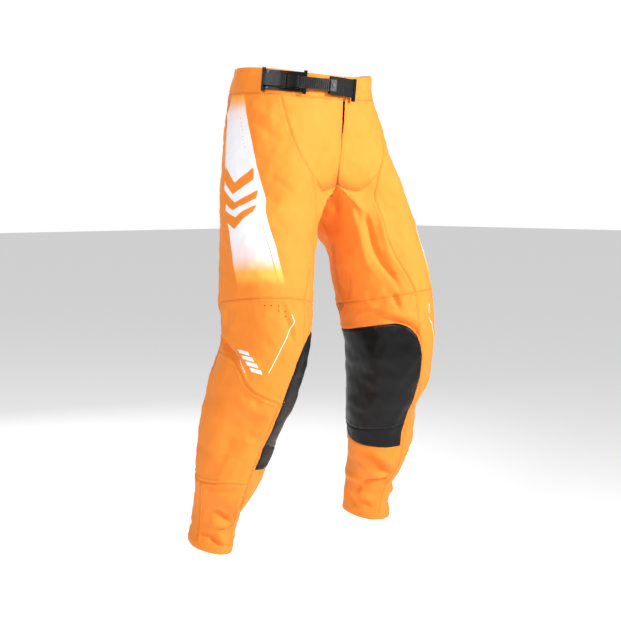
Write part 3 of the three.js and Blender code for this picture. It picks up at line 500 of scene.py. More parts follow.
BAND_RIGHT = [(0.366, 0.96), (0.346, 1.38), (0.308, 2.35), (0.285, 3.23), (0.269, 3.88), (0.25, 4.42),
              (0.22, 5.1), (0.191, 5.75), (0.171, 6.28), (0.153, 6.75)]
BAND_LEFT = [(0.468, 0.96), (0.45, 2.1), (0.425, 3.12), (0.4, 4.05), (0.386, 4.6), (0.364, 5.15),
             (0.348, 5.65), (0.333, 6.28), (0.316, 6.75)]
PINSTRIPE = [(0.231, 5.3), (0.221, 5.58), (0.208, 5.87), (0.198, 6.12), (0.188, 6.38), (0.178, 6.66)]
EDGE_LINE = [(0.444, 2.15), (0.424, 2.95), (0.397, 4.0)]
KNEE_LINES = [
    [(0.131, 7.3), (0.1265, 7.375), (0.122, 7.44)],
    [(0.122, 7.44), (0.138, 7.6), (0.1535, 7.77), (0.166, 7.93), (0.176, 8.1), (0.184, 8.27),
     (0.191, 8.45)],
    [(0.372, 8.06), (0.352, 8.13), (0.329, 8.22), (0.304, 8.34), (0.285, 8.45), (0.267, 8.56)],
]
DOTS = [(0.358, 1.83), (0.354, 1.95), (0.35, 2.07), (0.346, 2.18), (0.339, 2.38), (0.336, 2.49),
        (0.332, 2.6), (0.328, 2.7)]
VENTS = [(0.225, 7.15), (0.204, 7.15), (0.179, 7.15), (0.154, 7.15), (0.179, 7.25), (0.154, 7.25),
         (0.154, 7.35)]
CHEVRON_TIPS = [(0.33, 5.3), (0.343, 4.66), (0.356, 4.02)]
CHEVRON = dict(wide=0.062, tall=0.42, thick=0.34)
BARS = [(0.296, 8.17), (0.275, 8.27), (0.254, 8.37), (0.233, 8.47)]
FAR = 0.02  # distances to a printed edge are cut off here


def chevron(tip, wide, tall, thick):
    """A V that points down the leg, as an outline in u and s."""
    u, s = tip
    return np.array([(u, s), (u - wide, s - tall), (u - wide, s - tall - thick), (u, s - thick),
                     (u + wide, s - tall - thick), (u + wide, s - tall)])


def bar(middle):
    """A short slanted bar, as an outline in u and s."""
    u, s = middle
    return np.array([(u + 0.027, s - 0.035), (u + 0.016, s + 0.035), (u - 0.024, s + 0.035),
                     (u - 0.013, s - 0.035)])


def inside_outline(outline, u, s):
    inside = np.zeros(len(u), bool)
    for (u0, s0), (u1, s1) in zip(outline, np.roll(outline, -1, axis=0)):
        crosses = (s0 > s) != (s1 > s)
        at = u0 + (s - s0) / (s1 - s0 if s1 != s0 else 1e-9) * (u1 - u0)
        inside ^= crosses & (u < at)
    return inside


def signed_distance(outline, points, u, s):
    """How far points lie inside a closed outline, up to FAR. Below 0 they lie outside it."""
    closed = np.vstack([outline, outline[:1]])
    ring = []
    for i in range(len(outline)):
        count = int(length_of(closed[i:i + 2]) / MARK_STEP) + 2
        ring.append(even(closed[i:i + 2], np.linspace(0, 1, count)[:-1]))
    ring = np.vstack(ring)
    marks = surface(ring[:, 0], ring[:, 1])
    gap = np.full(len(points), FAR)
    near = np.all((points > marks.min(0) - FAR) & (points < marks.max(0) + FAR), axis=1)
    if near.any():
        gap[near] = np.minimum(nearest_on(points[near], marks)[0], FAR)
    return np.where(inside_outline(outline, u, s), gap, -gap)


def band_outline():
    right, left = spline(BAND_RIGHT, 60), spline(BAND_LEFT, 60)
    return np.vstack([right, left[::-1]])


def print_masks(u, s, points):
    """Attributes for the printed areas of the cloth."""
    marks = np.full(len(points), -FAR)
    for tip in CHEVRON_TIPS:
        marks = np.maximum(marks, signed_distance(chevron(tip, **CHEVRON), points, u, s))
    return {"band": signed_distance(band_outline(), points, u, s), "mark": marks, "down": s}


# ---- panels ----

STEP = 0.0036
FINE_STEP = 0.0023
SEAM_ROWS = np.array([0, 0.0008, 0.0016, 0.0024, 0.0034, 0.0048, 0.0064, 0.0077, 0.0087, 0.01])
CLOTH = 0.0012
DOUBLE_CLOTH = 0.0024
LEATHER = 0.0018
FLY_OPENING = 0.0085  # the left front stands this far open at the waist
FLY_CLOSED = 2.6  # and is closed from here down
UNDERLAP = 0.0009  # how much lower the right front lies beside the fly
NARROW = 0.03  # a panel narrower than this has even rows only


def shares(length, step):
    """Where the rows of a panel lie: close together beside its seams, and even between."""
    if length < NARROW:
        return np.linspace(0, 1, max(5, int(length / 0.0014) + 1))
    count = max(3, int((length - 2 * SEAM_ROWS[-1]) / step) + 1)
    middle = np.linspace(SEAM_ROWS[-1], length - SEAM_ROWS[-1], count)[1:-1]
    return np.concatenate([SEAM_ROWS, middle, length - SEAM_ROWS[::-1]]) / length


def patch(top, foot, left, right, step=STEP):
    """A grid of (u, s) between four edges."""
    across = shares((length_of(top) + length_of(foot)) / 2, step)
    down = shares((length_of(left) + length_of(right)) / 2, step)
    t, f = even(top, across), even(foot, across)
    l, r = even(left, down), even(right, down)
    a, b = across[None, :, None], down[:, None, None]
    corners = (1 - b) * ((1 - a) * t[0] + a * t[-1]) + b * ((1 - a) * f[0] + a * f[-1])
    return (1 - a) * l[:, None] + a * r[:, None] + (1 - b) * t[None] + b * f[None] - corners


def step_down(x, low, high):
    """1 below low, 0 above high, and smooth between."""
    return 1 - smooth(np.clip((x - low) / (high - low), 0, 1))


def underlap(u, s, side):
    """The right front lies a little lower beside the fly, so that the left can close over it."""
    if side == "left":
        return 0.0
    return -UNDERLAP * step_down(np.abs((u + 0.5) % 1 - 0.5), 0.03, 0.07) * step_down(s, 2.2, 3.0)


def grid_faces(rows, columns):
    at = np.arange(rows * columns).reshape(rows, columns)
    return np.stack([at[:-1, :-1], at[1:, :-1], at[1:, 1:], at[:-1, 1:]], -1).reshape(-1, 4)


def panel_part(grid, side):
    """One patch of one leg: its points, faces, UVs in metres, places, and distances to seams."""
    rows, columns = grid.shape[:2]
    u, s = grid[..., 0].ravel(), grid[..., 1].ravel()
    base = surface(u, s)
    relief, gap, row = seam_relief(base)
    mirror = mirror_of(side)
    height = relief + fold_heights(base, side) + drape(base * mirror) + underlap(u, s, side)
    points = base + normals(u, s) * height[:, None]
    middle = (np.abs(u - BACK_U) < 1e-6) & (s <= CROTCH + 1e-6)
    middle |= (np.abs(u - np.round(u)) < 1e-6) & (s >= FLY_CLOSED) & (s <= CROTCH + 1e-6)
    middle |= (u > BACK_U) & (np.abs(s - CROTCH) < 1e-6)
    points[:, 0] = np.where(middle, 0, np.maximum(points[:, 0], 0))
    net = base.reshape(rows, columns, 3)
    x = np.cumsum(np.linalg.norm(np.diff(net, axis=1, prepend=net[:, :1]), axis=2), axis=1)
    y = np.cumsum(np.linalg.norm(np.diff(net, axis=0, prepend=net[:1]), axis=2), axis=0)
    uvs = np.stack([(x - x.mean(axis=1, keepdims=True)).ravel(), -y.ravel()], -1)
    faces = grid_faces(rows, columns)
    if side == "right":
        faces = faces[:, ::-1]
    return {"points": points * mirror, "faces": faces, "uvs": uvs, "u": u, "s": s, "base": base,
            "seam": gap, "row": row}


SKIN = {"left": [], "right": []}


def add_mesh(name, points, faces):
    mesh = bpy.data.meshes.new(name)
    mesh.from_pydata(np.asarray(points).tolist(), [], [list(map(int, f)) for f in faces])
    mesh.shade_smooth()
    made = bpy.data.objects.new(name, mesh)
    bpy.context.scene.collection.objects.link(made)
    return made


def sew(name, parts, thickness, masks=None):
    """One panel as a sheet of cloth with thickness, from its parts."""
    starts = np.cumsum([0] + [len(p["points"]) for p in parts])
    points = np.vstack([p["points"] for p in parts])
    faces = np.vstack([p["faces"] + n for p, n in zip(parts, starts)])
    made = add_mesh(name, points, faces)
    mesh = made.data
    values = {key: np.concatenate([p[key] for p in parts]) for key in ("seam", "row")}
    if masks:
        found = [masks(p["u"], p["s"], p["base"]) for p in parts]
        values.update({key: np.concatenate([f[key] for f in found]) for key in found[0]})
    for key, value in values.items():
        mesh.attributes.new(key, "FLOAT", "POINT").data.foreach_set("value", value.astype(np.float32))
    corner = np.zeros(len(mesh.loops), np.int32)
    mesh.loops.foreach_get("vertex_index", corner)
    uvs = np.vstack([p["uvs"] for p in parts])[corner].astype(np.float32)
    mesh.uv_layers.new(name="metres").data.foreach_set("uv", uvs.ravel())
    if len(parts) > 1:
        made.modifiers.new("join", "WELD").merge_threshold = 0.0003
    thicken(made, thickness, -1)
    return made


def thicken(piece, thickness, shift):
    """Cloth thickness: inwards for a shift of -1, to both sides for 0."""
    shell = piece.modifiers.new("thickness", "SOLIDIFY")
    shell.thickness = thickness
    shell.offset = shift


def leg_patches(side):
    """The patches of every panel of one leg."""
    start = FLY_OPENING if side == "left" else 0.0
    fly = spline([(start, 1), (start * 0.55, 1.7), (0.0005, 2.4), (0, 3.2), (0, 4)])
    inseam, arc = spline(turned(INSEAM)), spline(turned(FRONT_ARC))
    guard_top, guard_split = spline(turned(GUARD_TOP)), spline(turned(GUARD_SPLIT))
    guard_foot, guard_back = spline(turned(GUARD_FOOT)), spline(turned(GUARD_BACK), 300)
    knee_foot = spline(KNEE_FOOT, 400)
    outer_top = np.array([np.interp(0.111, knee_foot[:, 0], knee_foot[:, k]) for k in (0, 1)])
    strip = joined(line(outer_top, STRIP_OUTER[1], 30), spline(STRIP_OUTER[1:]))
    strip_inner = joined(part(GUARD_FRONT, 9.05, 10.05), line(GUARD_FRONT[-1], GUARD_FOOT[-1], 40))
    calf_right = joined(guard_back[guard_back[:, 1] >= 9.05], line((0.72, 10.36), (0.738, 10.58), 20),
                        line((0.738, 10.58), (0.738, STRIP_FOOT), 20))
    upper_back = guard_back[guard_back[:, 1] <= 9.05]
    front_side = joined(spline(KNEE_FRONT), part(GUARD_FRONT, 7.88, 9.05))
    yoke_corner = part(BACK_SEAM, 1, 2)[-1]
    yoke_foot = line(yoke_corner, (0.75, 2))
    seat_foot = line((0.46, 4), (0.75, 4))
    outer_knee, inner_knee = line((0.068, 7), (0.44, 7)), line((0.8, 7), (1.068, 7))
    back_knee = line((0.44, 7), (0.8, 7))
    knee_edge = line((0.8, 7), (0.69, 7.8))
    calf_top, calf_foot = line((0.44, 8.95), (0.692, 9.05)), across(CALF_FOOT, 0.105, 0.44)
    outer_side = line(CALF_FOOT[3], (0.32, CUFF_TOP))
    inner_top = joined(across(CALF_FOOT, 0.36, 0.738), line((0.738, STRIP_FOOT), (0.738, 10.58), 30),
                       guard_foot, line((1.088, 10.52), (1.105, 10.53), 12))
    inner_right = joined(line((1.105, 10.53), (1.105, STRIP_FOOT), 40),
                         line((1.105, STRIP_FOOT), (1.05, CUFF_TOP)))
    band_start = (start * 0.8, 0)
    return {
        "front_panel": [patch(line((start, 1), (0.215, 1)), spline(FRONT_ARC), fly,
                              part(HIP_SEAM, 1, 3.45))],
        "inner_thigh_panel": [patch(joined(line((0.9, 4), (1, 4)), arc), inner_knee, inseam,
                                    part(turned(HIP_SEAM), 3.45, 7))],
        "side_thigh_panel": [patch(line((0.215, 1), (0.47, 1)), outer_knee, part(HIP_SEAM, 1, 7),
                                   part(BACK_SEAM, 1, 7), FINE_STEP)],
        "stretch_yoke": [patch(line((0.47, 1), (0.75, 1)), yoke_foot, part(BACK_SEAM, 1, 2),
                               line((0.75, 1), (0.75, 2)))],
        "seat_panel": [patch(yoke_foot, seat_foot, part(BACK_SEAM, 2, 4), line((0.75, 2), (0.75, 4)))],
        "rear_thigh_panel": [patch(joined(seat_foot, line((0.75, 4), (0.9, 4))), back_knee,
                                   part(BACK_SEAM, 4, 7), inseam)],
        "knee_panel": [
            patch(outer_knee, knee_foot, front_side, line((0.44, 7), (0.44, 8.36)), 0.003),
            patch(inner_knee, guard_top, knee_edge, spline(turned(KNEE_FRONT))),
        ],
        "knee_guard_leather": [patch(guard_top, guard_split, guard_back, spline(turned(GUARD_FRONT)))],
        "knee_guard_foot": [patch(guard_split, guard_foot, line((0.72, 10.36), (0.738, 10.58)),
                                  line((1.086, 10.05), (1.088, 10.52)))],
        "stretch_knee_back": [patch(back_knee, calf_top, line((0.44, 7), (0.44, 8.95)),
                                    joined(knee_edge, upper_back))],
        "shin_strip": [patch(line((0.094, 9.05), outer_top), line((0.088, 10.52), (0.105, 10.52)),
                             strip_inner, strip[strip[:, 1] <= 10.52])],
        "calf_panel": [patch(knee_foot[knee_foot[:, 0] >= 0.111], calf_foot, strip,
                             line((0.44, 8.36), calf_foot[-1]))],
        "calf_back_panel": [patch(calf_top, across(CALF_FOOT, 0.44, 0.738),
                                  line((0.44, 8.95), calf_foot[-1]), calf_right)],
        "lower_leg_outer": [patch(across(CALF_FOOT, 0.105, 0.36), line((0.05, CUFF_TOP), (0.32, CUFF_TOP)),
                                  line(CALF_FOOT[0], (0.05, CUFF_TOP)), outer_side)],
        "lower_leg_inner": [patch(inner_top, line((0.32, CUFF_TOP), (1.05, CUFF_TOP), 300), outer_side,
                                  inner_right)],
        "waistband_front": [patch(line(band_start, (0.375, 0)), line((start, 1), (0.375, 1)),
                                  line(band_start, (start, 1)), line((0.375, 0), (0.375, 1)))],
        "waistband_back": [patch(line((0.375, 0), (0.75, 0)), line((0.375, 1), (0.75, 1)),
                                 line((0.375, 0), (0.375, 1)), line((0.75, 0), (0.75, 1)))],
        "cuff_hem": [patch(line((0, CUFF_TOP), (1, CUFF_TOP), 300), line((0, HEM), (1, HEM), 300),
                           line((0, CUFF_TOP), (0, HEM)), line((1, CUFF_TOP), (1, HEM)))],
    }


FINISH = {
    "stretch_yoke": ("stretch_cloth", CLOTH),
    "stretch_knee_back": ("stretch_cloth", CLOTH),
    "knee_guard_leather": ("leather", LEATHER),
    "knee_guard_foot": ("leather", LEATHER),
    "waistband_front": ("orange_cloth", DOUBLE_CLOTH),
    "waistband_back": ("orange_cloth", DOUBLE_CLOTH),
    "cuff_hem": ("orange_cloth", DOUBLE_CLOTH),
}
# These follow the strap, and fade into the still garment between the two points below.
# These two are attached to no body: their placement is baked into their points.
WITH_THE_STRAP = ("waistband_front_left", "front_panel_left")


def finish_piece(piece, slot, body="garment"):
    """Gives a piece its material, its own look's or else the slot's, and attaches it to the body it rides;
    for both bodies it only bakes its placement.
    """
    piece.data.materials.append(MATERIALS[piece.get("look", slot)])
    if body == "both":
        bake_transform(piece)
    else:
        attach(piece, body)


def build_panels():
    """Every panel of both legs. The waistband's back is one piece across the middle."""
    backs = []
    for side in ("left", "right"):
        for name, grids in leg_patches(side).items():
            parts = [panel_part(grid, side) for grid in grids]
            SKIN[side].extend(parts)
            if name == "waistband_back":
                backs.extend(parts)
                continue
            slot, thickness = FINISH.get(name, ("orange_cloth", CLOTH))
            masks = print_masks if name == "side_thigh_panel" else None
            if name == "cuff_hem":
                parts[0]["points"] = close_ring(parts[0]["points"], grids[0].shape)
            piece = sew(f"sewn_{name}_{side}", parts, thickness, masks)
            if name == "cuff_hem":
                piece.modifiers.new("join", "WELD").merge_threshold = 0.0001
                piece.modifiers.move(1, 0)
            if masks:
                piece["look"] = "printed_cloth"
            if name == "knee_guard_foot":
                piece["look"] = "smooth_leather"
            node = f"{name}_{side}"
            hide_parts(node)
            finish_piece(piece, slot, "both" if node in WITH_THE_STRAP else "garment")
    piece = sew("sewn_waistband_back", backs, DOUBLE_CLOTH)
    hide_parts("waistband_back")
    finish_piece(piece, "orange_cloth")


def close_ring(points, shape):
    """Makes the last column of a ring the same as its first."""
    net = points.reshape(shape[0], shape[1], 3)
    net[:, -1] = net[:, 0]
    return net.reshape(-1, 3)


# ---- sewing on the panels ----

PRINT_SPACING = 0.0015
FOLD_REACH = 0.014  # the cloth lies less than this far outside the smooth surface


def stacked(parts):
    """The points and faces of several parts as one."""
    points, faces, start = [], [], 0
    for made, found in parts:
        points.append(made)
        faces += [tuple(int(v) + start for v in face) for face in found]
        start += len(made)
    return np.vstack(points), faces


def skin_tree(side):
    points, faces = stacked((piece["points"], piece["faces"]) for piece in SKIN[side])
    return BVHTree.FromPolygons(points.tolist(), faces)


def tube_faces(rings, sides):
    """The faces of a tube of rings, with a cap at each end."""
    faces = []
    for j in range(rings - 1):
        for k in range(sides):
            n = (k + 1) % sides
            faces.append((j * sides + k, j * sides + n, (j + 1) * sides + n, (j + 1) * sides + k))
    last = (rings - 1) * sides
    return [*faces, tuple(range(sides))[::-1], tuple(last + k for k in range(sides))]


def sideways(t, up):
    """Directions at right angles to a line and to the cloth under it."""
    across = np.cross(t, up)
    return across / np.linalg.norm(across, axis=1, keepdims=True)


def laid_line(uv, side, offset=0, towards=None, spacing=PRINT_SPACING):
    """Points, directions and normals on the cloth along a seam, offset to the side of `towards`."""
    count = max(3, int(length_of(uv) / spacing) + 1)
    fine = even(uv, np.linspace(0, 1, count))
    p, n = surface(fine[:, 0], fine[:, 1]), normals(fine[:, 0], fine[:, 1])
    t = np.gradient(p, axis=0)
    t /= np.linalg.norm(t, axis=1, keepdims=True)
    away = np.cross(t, n)
    if offset:
        aim = surface(*towards) - p[count // 2]
        p = p + away * offset * (1 if aim @ away[count // 2] > 0 else -1)
    p, t, n = (vectors * mirror_of(side) for vectors in (p, t, n))
    laid = [on_cloth(side, point, out) for point, out in zip(p, n)]
    spots = np.array([spot for spot, _ in laid])
    return spots, t, np.array([up for _, up in laid])


def on_cloth(side, point, out):
    """Where the line through a point of the smooth surface, along its normal, meets the cloth."""
    spot, normal, _, _ = TREES[side].ray_cast(Vector(point + out * FOLD_REACH), Vector(-out), 0.03)
    if spot is None:
        spot, normal, _, _ = TREES[side].find_nearest(Vector(point))
    return spot, normal


STITCH_PITCH, STITCH_LONG = 0.0033, 0.0024
STITCH_WIDE, STITCH_HIGH = 0.0005, 0.0003
SPINDLE = [(-0.5, 0.35), (-0.28, 0.95), (0.0, 1.0), (0.28, 0.95), (0.5, 0.35)]  # along, thick


def stitch_mesh(laid, t, up, sides=6):
    """A row of short threads, each a closed spindle that lies on the cloth."""
    across = sideways(t, up)
    along = np.cross(up, across)
    rings = []
    for share, thick in SPINDLE:
        for k in range(sides):
            angle = 2 * math.pi * k / sides
            wide = thick * STITCH_WIDE * math.cos(angle)
            high = STITCH_HIGH * (0.55 + thick * math.sin(angle)) - 0.0003 * (abs(share) > 0.4)
            rings.append(laid + along * share * STITCH_LONG + across * wide + up * high)
    points = np.stack(rings, 1)
    count, each = points.shape[:2]
    one = tube_faces(len(SPINDLE), sides)
    faces = [tuple(i * each + v for v in face) for i in range(count) for face in one]
    return points.reshape(-1, 3), faces


def add_parts(name, parts, look, slot, body="garment"):
    """Many small parts of one look as a single piece."""
    piece = add_mesh(name, *stacked(parts))
    piece["look"] = look
    finish_piece(piece, slot, body)


def add_stitches(name, rows, side, look, body="garment"):
    """Every row of one colour on one leg: its seam, how far beside it, and a point on that side."""
    made = [stitch_mesh(*laid_line(uv, side, offset, towards, STITCH_PITCH))
            for uv, offset, towards in rows]
    add_parts(name, made, look, "leather" if look == "black_thread" else "orange_cloth", body)


def orange_rows():
    """Rows of orange thread that both legs have."""
    back = spline(turned(INSEAM), 300)
    knee = joined(spline(KNEE_FRONT), part(GUARD_FRONT, 7.88, 9.05))
    knee_foot = spline(KNEE_FOOT, 400)
    front = line(CALF_FOOT[0], (0.05, CUFF_TOP))
    side = line(CALF_FOOT[3], (0.32, CUFF_TOP))
    return [
        (back, 0.0022, (0.95, 5)), (back, 0.008, (0.95, 5)),
        (spline(FRONT_ARC), 0.0022, (0.06, 4.6)),
        (part(HIP_SEAM, 1.03, 7), 0.0022, (0.25, 4)),
        (part(BACK_SEAM, 1.03, 7), 0.0022, (0.6, 4)),
        (line((0.07, 7), (0.44, 7), 300), 0.0024, (0.25, 7.5)),
        (line((0.44, 7), (0.8, 7), 300), 0.0024, (0.6, 7.5)),
        (line((0.8, 7), (1.066, 7), 300), 0.0024, (0.95, 7.4)),
        (knee_foot, 0.0022, (0.25, 8.2)), (knee_foot, 0.0085, (0.25, 8.2)),
        (knee, 0.0024, (0.25, 8.2)),
        (line((0.44, 7.02), CALF_FOOT[4], 300), 0.0022, (0.36, 9)),
        (line((0.44, 8.95), (0.69, 9.05)), 0.0022, (0.6, 9.5)),
        (across(CALF_FOOT, 0.106, 0.738, 300), 0.0024, (0.3, 11.3)),
        (across(CALF_FOOT, 0.106, 0.36, 300), 0.0085, (0.3, 11.3)),
        (spline(STRIP_OUTER), 0.0022, (0.25, 10)),
        (front, 0.0022, (0.2, 11.6)), (front, 0.008, (0.2, 11.6)),
        (side, 0.0022, (0.2, 11.6)), (side, 0.008, (0.2, 11.6)),
        (line((0, 12.84), (1, 12.84), 300), 0, None),
        (line((0.46, 2), (0.75, 2)), 0.0022, (0.6, 3)),
        (line((0.46, 4), (0.75, 4)), 0.0022, (0.6, 3)),
        (line((0.75, 1.05), (0.75, 4)), 0.0025, (0.6, 3)),
        (line((0.38, 0.12), (0.745, 0.12), 300), 0, None),
        (line((0.38, 0.9), (0.745, 0.9), 300), 0, None),
    ]


def fly_rows():
    """The double row beside the fly, on the wearer's right."""
    return [
        (spline([(0.0085, 1.05), (0.0085, 1.8), (0.0085, 2.5), (0.006, 2.9), (0.002, 3.1)]), 0, None),
        (spline([(0.0135, 1.05), (0.0135, 1.8), (0.0135, 2.5), (0.0105, 2.95), (0.002, 3.25)]), 0, None),
    ]


def waist_rows(start):
    """The two rows along the front of the waistband."""
    return [(line((start, s), (0.37, s), 300), 0, None) for s in (0.12, 0.9)]


def front_left_rows():
    return [
        *waist_rows(0.012),
        (spline([(0.0125, 1.05), (0.009, 1.7), (0.0045, 2.4), (0.004, 3.9)]), 0, None),
        (spline([(0.0185, 1.05), (0.015, 1.7), (0.0105, 2.4), (0.0095, 3.6)]), 0, None),
    ]


def leather_rows():
    return [
        (spline(turned(GUARD_TOP)), 0.0026, (0.95, 8.6)),
        (spline(turned(GUARD_FRONT)), 0.0026, (0.95, 8.8)),
        (spline(turned(GUARD_BACK)), 0.0026, (0.95, 8.8)),
        (spline(turned(GUARD_SPLIT)), 0.0024, (0.95, 10.5)),
        (spline(turned(GUARD_FOOT)), 0.0024, (0.95, 10.2)),
    ]


# ---- thin prints and vents, laid on the cloth ----

SUNK = 0.0002  # how deep a printed line's edges reach into the cloth


def ribbon(points, side, wide, thick):
    """A thin printed line with a low crown, closed on every side."""
    laid, t, up = laid_line(spline(points), side)
    across = sideways(t, up)
    profile = [(-0.5, -SUNK), (-0.5, thick * 0.7), (0, thick), (0.5, thick * 0.7), (0.5, -SUNK)]
    rings = np.stack([laid + across * a * wide + up * h for a, h in profile], 1)
    return rings.reshape(-1, 3), tube_faces(len(rings), len(profile))


def disc(uv, side, radius, low, high, corners=14):
    """A small round dot with a rounded rim."""
    spot, up = on_cloth(side, surface(*uv) * mirror_of(side), normals(*uv) * mirror_of(side))
    across = up.orthogonal().normalized()
    other = up.cross(across)
    points = []
    for r, h in ((1, low), (1, high * 0.5), (0.8, high)):
        for k in range(corners):
            a = 2 * math.pi * k / corners
            points.append(spot + (across * math.cos(a) + other * math.sin(a)) * radius * r + up * h)
    return np.array(points), tube_faces(3, corners)


def filled(outline, side, thick):
    """An outline of four corners, printed on the cloth as a thin raised shape."""
    a, b, c, d = outline
    n, m = 16, 8
    i, j = np.linspace(0, 1, n)[None, :, None], np.linspace(0, 1, m)[:, None, None]
    net = (1 - j) * ((1 - i) * a + i * b) + j * ((1 - i) * d + i * c)
    u, s = net[..., 0].ravel(), net[..., 1].ravel()
    upper, lower = [], []
    for point, out in zip(surface(u, s) * mirror_of(side), normals(u, s) * mirror_of(side)):
        spot, normal = on_cloth(side, point, out)
        upper.append(spot + normal * thick)
        lower.append(spot - normal * 0.0003)
    at = np.arange(n * m).reshape(m, n)
    rim = np.concatenate([at[0, :-1], at[:-1, -1], at[-1, :0:-1], at[:0:-1, 0]])
    following = np.roll(rim, -1)
    quads, sides = grid_faces(m, n), np.stack([rim, following, following + n * m, rim + n * m], -1)
    if side == "right":
        quads, sides = quads[:, ::-1], sides[:, ::-1]
    return np.array(upper + lower), [*quads, *(quads[:, ::-1] + n * m), *sides]


def add_prints(side):
    white = [ribbon(points, side, 0.0014, 0.00015) for points in KNEE_LINES]
    white += [filled(bar(middle), side, 0.00025) for middle in BARS]
    add_parts(f"print_white_{side}", white, "white_print", "orange_cloth")
    orange = [ribbon(PINSTRIPE, side, 0.0014, 0.0003), ribbon(EDGE_LINE, side, 0.0011, 0.00012)]
    orange += [disc(dot, side, 0.0011, -0.0004, 0.00015) for dot in DOTS]
    add_parts(f"print_orange_{side}", orange, "orange_print", "orange_cloth")
    dark = [disc(dot, side, 0.0013, -0.0006, 0.00012) for dot in VENTS]
    add_parts(f"vents_{side}", dark, "vent", "black_cloth")


# ---- materials ----

class Look:
    """One node material: its Principled shader, and short ways to add the nodes that feed it."""

    def __init__(self, name, roughness, **values):
        self.material = bpy.data.materials.new(name)
        self.material.use_nodes = True
        self.tree = self.material.node_tree
        self.shader = self.tree.nodes["Principled BSDF"]
        for key, value in {"Roughness": roughness, **values}.items():
            self.shader.inputs[key.replace("_", " ")].default_value = value

    def put(self, value, socket):
        """Gives a socket a number, a colour, or another node's output."""
        if isinstance(value, (int, float)):
            socket.default_value = value
        elif isinstance(value, tuple):
            socket.default_value = (*value, 1)
        else:
            self.tree.links.new(value, socket)

    def feed(self, name, value):
        self.put(value, self.shader.inputs[name])

    def node(self, kind, inputs=None, **settings):
        made = self.tree.nodes.new("ShaderNode" + kind)
        for key, value in settings.items():
            setattr(made, key, value)
        for key, value in (inputs or {}).items():
            self.put(value, made.inputs[key])
        return made

    def place(self):
        """The piece's own coordinates in metres."""
        return self.node("TexCoord").outputs["Object"]

    def attribute(self, name):
        return self.node("Attribute", attribute_name=name).outputs["Fac"]

    def noise(self, scale, detail, **inputs):
        values = {"Vector": self.place(), "Scale": scale, "Detail": detail, **inputs}
        return self.node("TexNoise", values).outputs["Fac"]

    def math(self, operation, *values):
        made = self.node("Math", operation=operation)
        for value, socket in zip(values, made.inputs):
            self.put(value, socket)
        return made.outputs[0]

    def invert(self, value):
        return self.math("SUBTRACT", 1.0, value)

    def ramp(self, value, low, high):
        """0 below low, 1 above high, and smooth between."""
        return self.node("MapRange", {"Value": value, "From Min": low, "From Max": high},
                         interpolation_type="SMOOTHSTEP").outputs["Result"]

    def spread(self, value, low, high):
        """From low to high as a value goes from 0 to 1."""
        return self.node("MapRange", {"Value": value, "To Min": low, "To Max": high}).outputs["Result"]

    def mix(self, share, a, b):
        made = self.node("Mix", {0: share, 6: a, 7: b}, data_type="RGBA")
        return made.outputs[2]

    def waves(self, where, axes, scales):
        """A sine wave along each of two axes."""
        split = self.node("SeparateXYZ", {0: where})
        return [self.math("SINE", self.math("MULTIPLY", split.outputs[axis], scale))
                for axis, scale in zip(axes, scales)]

    def bump(self, height, distance, strength):
        made = self.node("Bump", {"Height": height, "Strength": strength, "Distance": distance})
        self.feed("Normal", made.outputs[0])


ORANGE, ORANGE_DEEP = (0.93, 0.275, 0.028), (0.8, 0.19, 0.015)
STRETCH_ORANGE, STRETCH_DEEP = (0.86, 0.23, 0.02), (0.68, 0.15, 0.012)
# Painted shade: the colours that seam grooves, stitch rows and the stretch cloth's rib valleys are
# darkened towards.
SEAM_PAINTED_SHADE, RIB_PAINTED_SHADE = (0.3, 0.05, 0.004), (0.42, 0.08, 0.006)
WHITE = (0.86, 0.86, 0.9)
YELLOW = (1.0, 0.42, 0.06)
BLUSH = (0.9, 0.72, 0.7)
# The last leather colour is painted shade, for the pore hollows.
LEATHER_DARK, LEATHER_LIGHT, PORE_PAINTED_SHADE = (0.0012, 0.0012, 0.0012), (0.005, 0.0047, 0.005), (0.001, 0.001, 0.001)
# Where the print turns yellow, then blush, then white: starts and ends at its top, and at its foot.
FADES = [(0.96, 1.2, 6.45, 6.75), (1.15, 1.7, 5.95, 6.45), (1.45, 2.25, 5.4, 6.1)]
PRINT_EDGE = 0.0004
THREAD_WAVE, RIB_WAVE, TAPE_WAVE = 4200.0, 2400.0, 5200.0  # radians for each metre


def cloth_colour(look, light, deep):
    """Slow random changes of tone, finer yarn changes, and painted shade: a darker line in the seam
    grooves and along the stitch rows.
    """
    slow, fine = look.noise(14.0, 3.0), look.noise(420.0, 4.0, Roughness=0.7)
    uneven = look.math("MULTIPLY_ADD", fine, 0.35, look.math("MULTIPLY", slow, 0.4))
    # Painted shade: the colour darkens within a millimetre of each seam and each stitch row, as if the
    # groove were in shade.
    seam = look.invert(look.ramp(look.attribute("seam"), 0.0001, 0.0009))
    row = look.invert(look.ramp(look.attribute("row"), 0.0001, 0.0008))
    dark = look.math("MAXIMUM", look.math("MULTIPLY", seam, 0.55), look.math("MULTIPLY", row, 0.22))
    return look.mix(dark, look.mix(uneven, light, deep), SEAM_PAINTED_SHADE), fine


def printed_colour(look, cloth):
    """The thigh print, which fades along the leg and leaves the chevrons free."""
    down = look.attribute("down")
    shades = []
    for top_start, top_end, foot_start, foot_end in FADES:
        top = look.ramp(down, top_start, top_end)
        foot = look.invert(look.ramp(down, foot_start, foot_end))
        shades.append(look.math("MINIMUM", top, foot))
    ink = look.mix(shades[1], YELLOW, look.mix(shades[2], BLUSH, WHITE))
    inside = look.ramp(look.attribute("band"), -PRINT_EDGE, PRINT_EDGE)
    free = look.invert(look.ramp(look.attribute("mark"), -PRINT_EDGE, PRINT_EDGE))
    share = look.math("MULTIPLY", look.math("MULTIPLY", inside, free), shades[0])
    return look.mix(share, cloth, ink)


def metre_map(look):
    return look.node("UVMap", uv_map="metres").outputs[0]


